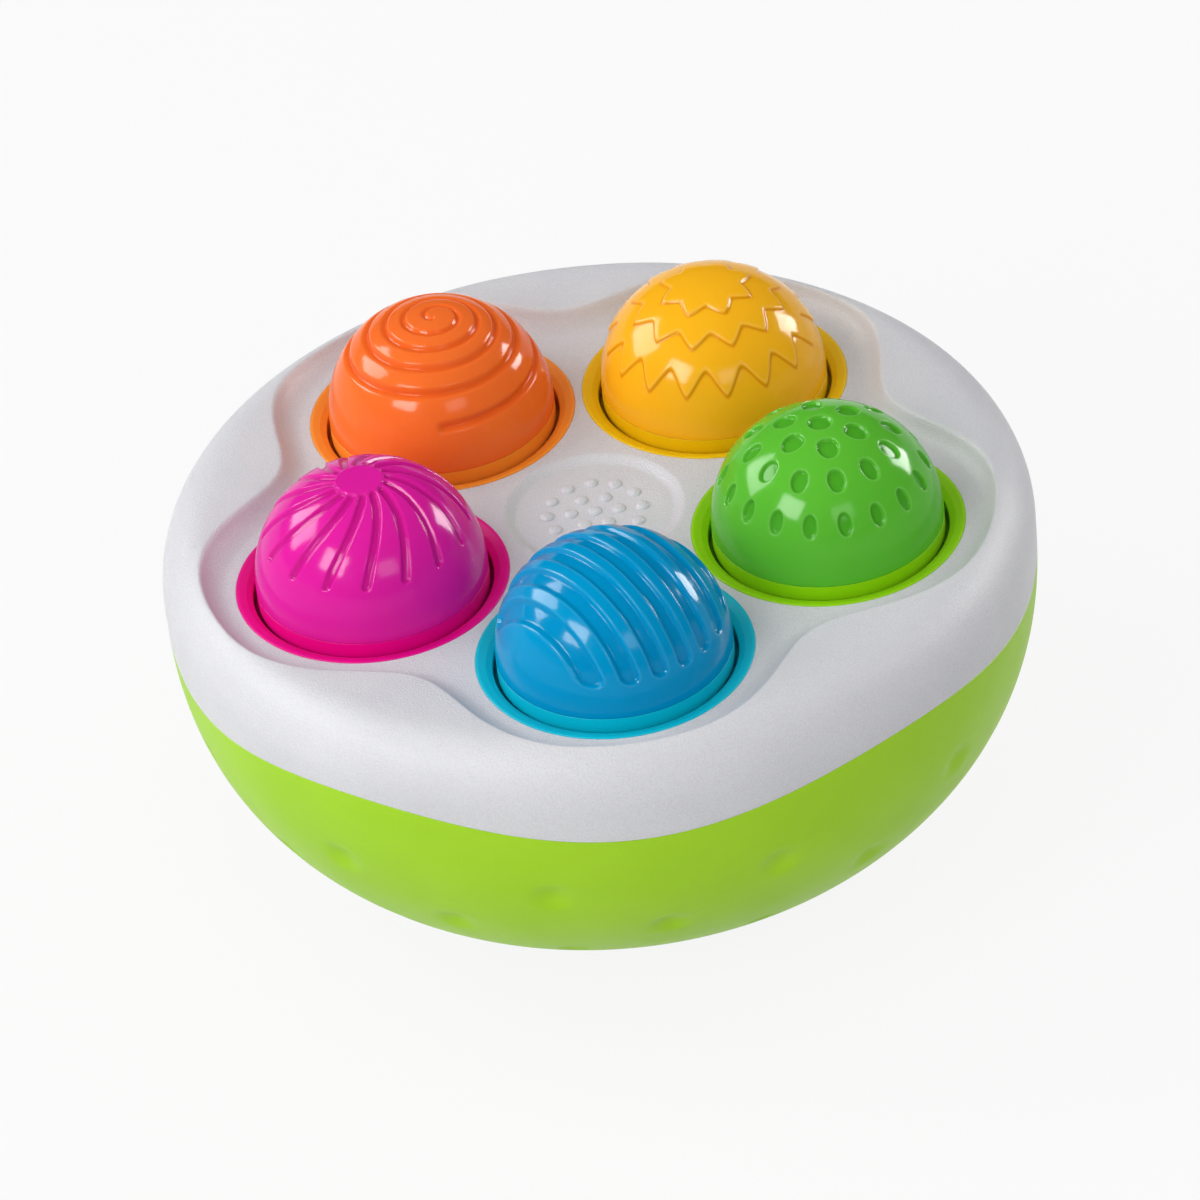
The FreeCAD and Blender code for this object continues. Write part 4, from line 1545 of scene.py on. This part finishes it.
@dataclass
class Bowl:
    """Green lower bowl: rounded wall, soft dimples, flat foot and five screw wells."""

    effects: Effects
    columns: int = 360
    depth: float = 89.8
    power: float = 2.3
    top_level: float = 88.7
    foot_extra: float = 0.9     # how much thicker the floor is than the wall
    dimple_r: float = 6.2
    dimple_flat: float = 0.8
    dimple_depth: float = 1.5
    dimple_count: int = 12
    dimple_first: float = -12.0
    dimple_levels: Tuple[float, ...] = (64.8, 47.8, 30.8)
    well_ring_r: float = 84.0
    well_r: float = 4.6
    well_wall: float = 2.0
    well_top: float = 62.0
    well_floor: float = 2.5
    well_sides: int = 64
    screw_r: float = 1.75
    screw_sides: int = 32
    cut_reach: float = 1.0      # how far the wells' cutters reach past their ends
    outer_rows: int = 110
    # Share of the wall, down from the edge, over which the rows bend to the seam's wave
    outer_bend: float = 0.1
    inner_bend: float = 0.2
    inner_rows: int = 22
    foot_rows: int = 3

    def material(self) -> bpy.types.Material:
        """Lime plastic with a satin grain."""
        finish = Plastic(
            "lime_satin_plastic", "A1D222", "90C214", Grain.SOFT_SATIN, roughness=0.42,
            smears=0.06, scratches=0.08, drift=0.3, glow=0.05, sheen_level=0.22)
        return finish.material(self.effects)

    def radius_at(self, level: Field, inset: float = 0.0) -> Field:
        """Radius of the wall's section at a level, for the outside or the inside."""
        down = ((self.top_level - level) / (self.depth - inset)).within(0.0, 1.0)
        return (1.0 - down ** self.power) ** (1.0 / self.power) * (SEAM.body_r - inset)

    def dimples(self, tree: SurfaceTree, radius: Field, azimuth: Field, level: Field) -> Field:
        """Depth of the dimples at a point of the outside."""
        total: Number = 0.0
        step = TAU / self.dimple_count
        for row, centre_z in enumerate(self.dimple_levels):
            down = (self.top_level - centre_z) / self.depth
            centre_r = SEAM.body_r * (1.0 - down ** self.power) ** (1.0 / self.power)
            first = math.radians(FRONT + self.dimple_first) + (row % 2) * step / 2.0
            turns = (azimuth - first) / step
            angle = (turns - round(turns)) * step
            away = tree.length(radius * tree.cosine(angle) - centre_r,
                               radius * tree.sine(angle), level - centre_z)
            total = away.fall(self.dimple_flat, self.dimple_r) * self.dimple_depth + total
        return total

    def outside(self, tree: SurfaceTree, azimuth: Field, share: Field, edge: Field) -> Place:
        """Dimpled outside, from the flat foot up to the edge.

        Args:
            tree: The tree that is being built.
            azimuth: Azimuth of the point.
            share: Share of the way from the flat's rim to the edge.
            edge: Level of the edge.

        Returns:
            Radius and level.
        """
        flat_angle = math.asin((self.top_level / self.depth) ** (self.power / 2.0))
        angle = (1.0 - share) * flat_angle
        level = self.top_level - tree.sine(angle) ** (2.0 / self.power) * self.depth
        bend = share.rise(1.0 - self.outer_bend, 1.0)
        level = level + (edge - SEAM.rounding - self.top_level) * bend
        radius = self.radius_at(level)
        sunk = self.dimples(tree, radius, azimuth, level)
        across = (radius / SEAM.body_r) ** (self.power - 1.0) / SEAM.body_r
        down = ((self.top_level - level) / self.depth).within(0.0, 1.0)
        upright = down ** (self.power - 1.0) / self.depth
        size = tree.length(across, upright)
        return radius - sunk * across / size, level + sunk * upright / size

    def inside(self, tree: SurfaceTree, share: Field, edge: Field) -> Place:
        """Plain inside, from the edge down to the middle of the floor."""
        quarter = share * (math.pi / 2.0)
        depth = self.depth - SEAM.wall - self.foot_extra
        level = self.top_level - tree.sine(quarter) ** (2.0 / self.power) * depth
        level = level + (edge - self.top_level) * share.fall(0.0, self.inner_bend)
        at_axis = share.above(1.0 - ROW_SLACK)
        return self.radius_at(level, SEAM.wall) * (1.0 - at_axis), level

    def surface(self, tree: SurfaceTree) -> bpy.types.NodeSocket:
        """Closed bowl without its wells."""
        outer_end = self.foot_rows + self.outer_rows
        rim_end = outer_end + SEAM.rows
        grid, azimuth, row = tree.sheet(tree.size("Columns"), rim_end + self.inner_rows + 1)
        edge = SEAM.edge(tree, azimuth, -1)
        outer_r, outer_z = self.outside(
            tree, azimuth, tree.along(row, self.foot_rows, self.outer_rows), edge)
        radius, level = tree.joined(
            row, (outer_r * tree.along(row, 0.0, self.foot_rows), outer_z), [
                (outer_end, SEAM.lip(tree, row, outer_end, edge, -1)),
                (rim_end, self.inside(tree, tree.along(row, rim_end, self.inner_rows), edge))])
        return tree.wrapped(grid, radius, azimuth, level)

    def well(self, tree: SurfaceTree) -> bpy.types.NodeSocket:
        """Tube round one screw, its lower end inside the bowl's wall."""
        tube = tree.plug(self.well_r + self.well_wall, 0.0, self.well_top,
                         sides=self.well_sides)
        x, y, z = tree.split(tree.make("GeometryNodeInputPosition", {}))
        radius = tree.length(x / MM + self.well_ring_r, y / MM)
        inset = SEAM.wall * 0.5
        share = 1.0 - (radius / (SEAM.body_r - inset)) ** self.power
        wall_z = self.top_level - share ** (1.0 / self.power) * (self.depth - inset)
        foot = tree.math("LESS_THAN", z, self.well_top * MM * 0.5)
        lifted = tree.join(x, y, z + (wall_z * MM - z) * foot)
        return tree.make("GeometryNodeSetPosition", {"Geometry": tube, "Position": lifted})

    def at_wells(self, tree: SurfaceTree, shape: bpy.types.NodeSocket) -> List[bpy.types.NodeSocket]:
        """Five turned copies of a shape that is drawn about its own axis."""
        copies = []
        step = 360.0 / len(Colour)
        for k in range(len(Colour)):
            azimuth = math.radians(FRONT + step * (k + 0.5))
            place = (self.well_ring_r * MM * math.cos(azimuth),
                     self.well_ring_r * MM * math.sin(azimuth), 0.0)
            copies.append(tree.make("GeometryNodeTransform", {
                "Geometry": shape, "Translation": place, "Rotation": (0.0, 0.0, azimuth)}))
        return copies

    def build(self) -> bpy.types.Object:
        """Makes the bowl and gives it its place."""
        tree = SurfaceTree("bowl_surface", {
            "Columns": self.columns, "Seam Level": SEAM.level}, self.material())
        bowl = self.surface(tree)
        bowl = tree.weld([bowl] + self.at_wells(tree, self.well(tree)))
        bore = tree.plug(self.well_r, -self.cut_reach, self.well_top - self.well_floor,
                         sides=self.well_sides)
        hole = tree.plug(self.screw_r, 0.0, self.well_top + self.cut_reach,
                         sides=self.screw_sides)
        bowl = tree.cut(bowl, self.at_wells(tree, bore))
        bowl = tree.cut(bowl, self.at_wells(tree, hole))
        made = tree.run("dimpled_bowl", tree.smooth(bowl, CREASE))
        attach(made, "base")
        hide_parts("lower_bowl")
        return made


@dataclass
class Hardware:
    """The plain nodes that stay as they are: ballast, screws and spindles."""

    effects: Effects

    def build(self) -> List[str]:
        """Dresses each node in its metal or plastic and returns the names."""
        steel = Metal("zinc_plated_steel", "C9CCD0", "8E9298", Grain.PLATED, roughness=0.28)
        cast = Metal("raw_iron_casting", "4A4A4C", "2A2A2C", Grain.CAST, roughness=0.55,
                     metallic=0.75)
        nylon = Plastic("natural_nylon", "EDEBE2", "DAD6C8", Grain.SATIN, roughness=0.38,
                        drift=0.5, glow=0.1)
        finishes = {"screw": steel.material(self.effects), "weight": cast.material(self.effects),
                    "spindle": nylon.material(self.effects)}
        dressed = []
        for name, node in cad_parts.items():
            kind = "screw" if "screw" in name else name.rsplit("_", 1)[-1]
            if kind in finishes:
                node.data.materials.clear()
                node.data.materials.append(finishes[kind])
                dressed.append(name)
        return dressed


@dataclass(frozen=True)
class SoftBox:
    """A rectangular studio lamp that faces the object.

    A diffuser lights the object and doesn't show in it. A glint, always nearer than the
    diffusers, only shows in polished surfaces.
    """

    name: str
    azimuth: float
    elevation: float
    width: float
    height: float
    radiance: float
    glint: bool = False
    glint_distance: float = 1500.0
    diffuser_distance: float = 1700.0

    @property
    def distance(self) -> float:
        """Distance of the lamp from the point it faces."""
        return self.glint_distance if self.glint else self.diffuser_distance

    def build(self, target: Vector) -> bpy.types.Object:
        """Makes the lamp, aimed at a point in metres."""
        lamp = bpy.data.lights.new(self.name, "AREA")
        lamp.shape = "RECTANGLE"
        lamp.size, lamp.size_y = self.width * MM, self.height * MM
        lamp.energy = self.radiance * math.pi * lamp.size * lamp.size_y
        made = bpy.data.objects.new(self.name, lamp)
        a, e = math.radians(self.azimuth), math.radians(self.elevation)
        out = Vector((math.cos(a) * math.cos(e), math.sin(a) * math.cos(e), math.sin(e)))
        made.location = target + out * (self.distance * MM)
        made.rotation_euler = (-out).to_track_quat("-Z", "Y").to_euler()
        made.visible_camera = False
        made.visible_glossy = self.glint
        made.visible_diffuse = not self.glint
        bpy.context.scene.collection.objects.link(made)
        return made


@dataclass
class Studio:
    """Floor with a backdrop round it, lamps, surroundings and camera."""

    floor_r: float = 3400.0
    sweep_r: float = 400.0
    backdrop_top: float = 620.0
    bends: int = 12
    sides: int = 96
    backdrop_roughness: float = 0.7
    backdrop_sheen: float = 0.2
    sky: float = 0.59
    floor_white: float = 0.89
    floor_grey: float = 0.62
    boxes: Tuple[SoftBox, ...] = (
        SoftBox("left_rear_diffuser", 160.0, 38.0, 1050.0, 900.0, 3.15),
        SoftBox("left_front_diffuser", -132.0, 34.0, 950.0, 650.0, 4.8),
        SoftBox("left_low_diffuser", -165.0, 6.0, 900.0, 450.0, 2.9),
        SoftBox("front_diffuser", -72.0, 37.0, 800.0, 620.0, 2.2),
        SoftBox("right_diffuser", 27.0, 13.0, 720.0, 750.0, 1.35),
        SoftBox("left_rear_glint", 154.6, 33.9, 820.0, 700.0, 18.0, True),
        SoftBox("left_front_glint", -140.0, 40.0, 650.0, 540.0, 26.0, True),
        SoftBox("front_glint", -72.0, 37.0, 530.0, 410.0, 6.5, True),
        SoftBox("right_glint", 27.8, 18.7, 480.0, 500.0, 32.0, True),
    )
    camera_place: Tuple[float, float, float] = (-26.36, -1365.3, 1104.6)
    camera_aim: Tuple[float, float, float] = (-2.06, -42.4, 105.5)
    camera_roll: float = -6.35
    lens: float = 185.1
    sensor: float = 36.0
    near: float = 50.0
    far: float = 20000.0

    def backdrop(self) -> bpy.types.Object:
        """Pale floor that sweeps up into a backdrop all round, out of the lamps' way."""
        section = [(0.0, 0.0), (self.floor_r, 0.0)]
        for k in range(1, self.bends + 1):
            turn = math.pi / 2.0 * k / self.bends
            section.append((self.floor_r + self.sweep_r * math.sin(turn),
                            self.sweep_r * (1.0 - math.cos(turn))))
        section.append((self.floor_r + self.sweep_r, self.backdrop_top))
        made = turned("studio_backdrop", section, self.sides, self.pale(), closed=False)
        made.data.flip_normals()    # it is seen from inside
        made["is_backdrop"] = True
        return made

    def pale(self) -> bpy.types.Material:
        """Matt white that keeps the object's shadow and shows nearly white."""
        material = bpy.data.materials.new("pale_backdrop")
        material.use_nodes = True
        graph = Graph(material.node_tree)
        shader = material.node_tree.nodes["Principled BSDF"]
        output = material.node_tree.nodes["Material Output"]
        shader.inputs["Base Color"].default_value = (*[self.floor_grey] * 3, 1.0)
        shader.inputs["Roughness"].default_value = self.backdrop_roughness
        shader.inputs["Specular IOR Level"].default_value = self.backdrop_sheen
        white = graph.make("ShaderNodeEmission", {"Color": WHITE, "Strength": 1.0})
        path = graph.node("ShaderNodeLightPath")
        seen: Number = 0.0
        for ray in ("Is Camera Ray", "Is Glossy Ray", "Is Transmission Ray"):
            seen = Field(graph, path.outputs[ray]) + seen
        mixed = graph.make("ShaderNodeMixShader", {
            0: seen.at_most(1.0) * self.floor_white, 1: shader.outputs[0], 2: white})
        graph.feed(output.inputs["Surface"], mixed)
        return material

    def surroundings(self) -> None:
        """Even skylight, which polished surfaces don't mirror."""
        world = bpy.data.worlds.new("studio_world")
        bpy.context.scene.world = world
        world.use_nodes = True
        background = world.node_tree.nodes["Background"]
        background.inputs["Color"].default_value = WHITE
        background.inputs["Strength"].default_value = self.sky
        world.cycles_visibility.glossy = False

    def camera(self) -> bpy.types.Object:
        """Camera at the photograph's place, rolled about its own line of sight."""
        data = bpy.data.cameras.new("photo_camera")
        data.lens, data.sensor_width = self.lens, self.sensor
        data.clip_start, data.clip_end = self.near * MM, self.far * MM
        made = bpy.data.objects.new("photo_camera", data)
        place, aim = Vector(self.camera_place) * MM, Vector(self.camera_aim) * MM
        level = (aim - place).to_track_quat("-Z", "Y").to_matrix()
        turn = Matrix.Rotation(math.radians(self.camera_roll), 3, "Z")
        made.matrix_world = Matrix.Translation(place) @ (level @ turn).to_4x4()
        bpy.context.scene.collection.objects.link(made)
        bpy.context.scene.camera = made
        return made

    def build(self) -> None:
        """Makes the whole studio."""
        self.backdrop()
        self.surroundings()
        target = Vector(self.camera_aim) * MM
        for box in self.boxes:
            box.build(target)
        self.camera()
        bpy.context.scene.view_settings.view_transform = "Standard"


def report(pieces: Sequence[bpy.types.Object]) -> None:
    """Logs each piece's name and its number of triangles."""
    for piece in pieces:
        piece.data.calc_loop_triangles()
        log.info("%s: %d triangles", piece.name, len(piece.data.loop_triangles))


def write_sizes() -> None:
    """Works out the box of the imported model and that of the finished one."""
    low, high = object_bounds()
    sizes = {"cad": [list(cad_low), list(cad_high)], "visual": [list(low), list(high)]}


def main() -> None:
    """Builds every sub-assembly in order and reports it."""
    logging.basicConfig(level=logging.INFO, format="%(name)s %(message)s")
    effects = Effects()
    report([Shell(effects).build(), Bowl(effects).build()])
    for colour in Colour:
        report(Peg(colour, effects).build())
    for name in Hardware(effects).build():
        log.info("%s: kept and dressed", name)
    Studio().build()
    write_sizes()


if __name__ == "__main__":
    main()
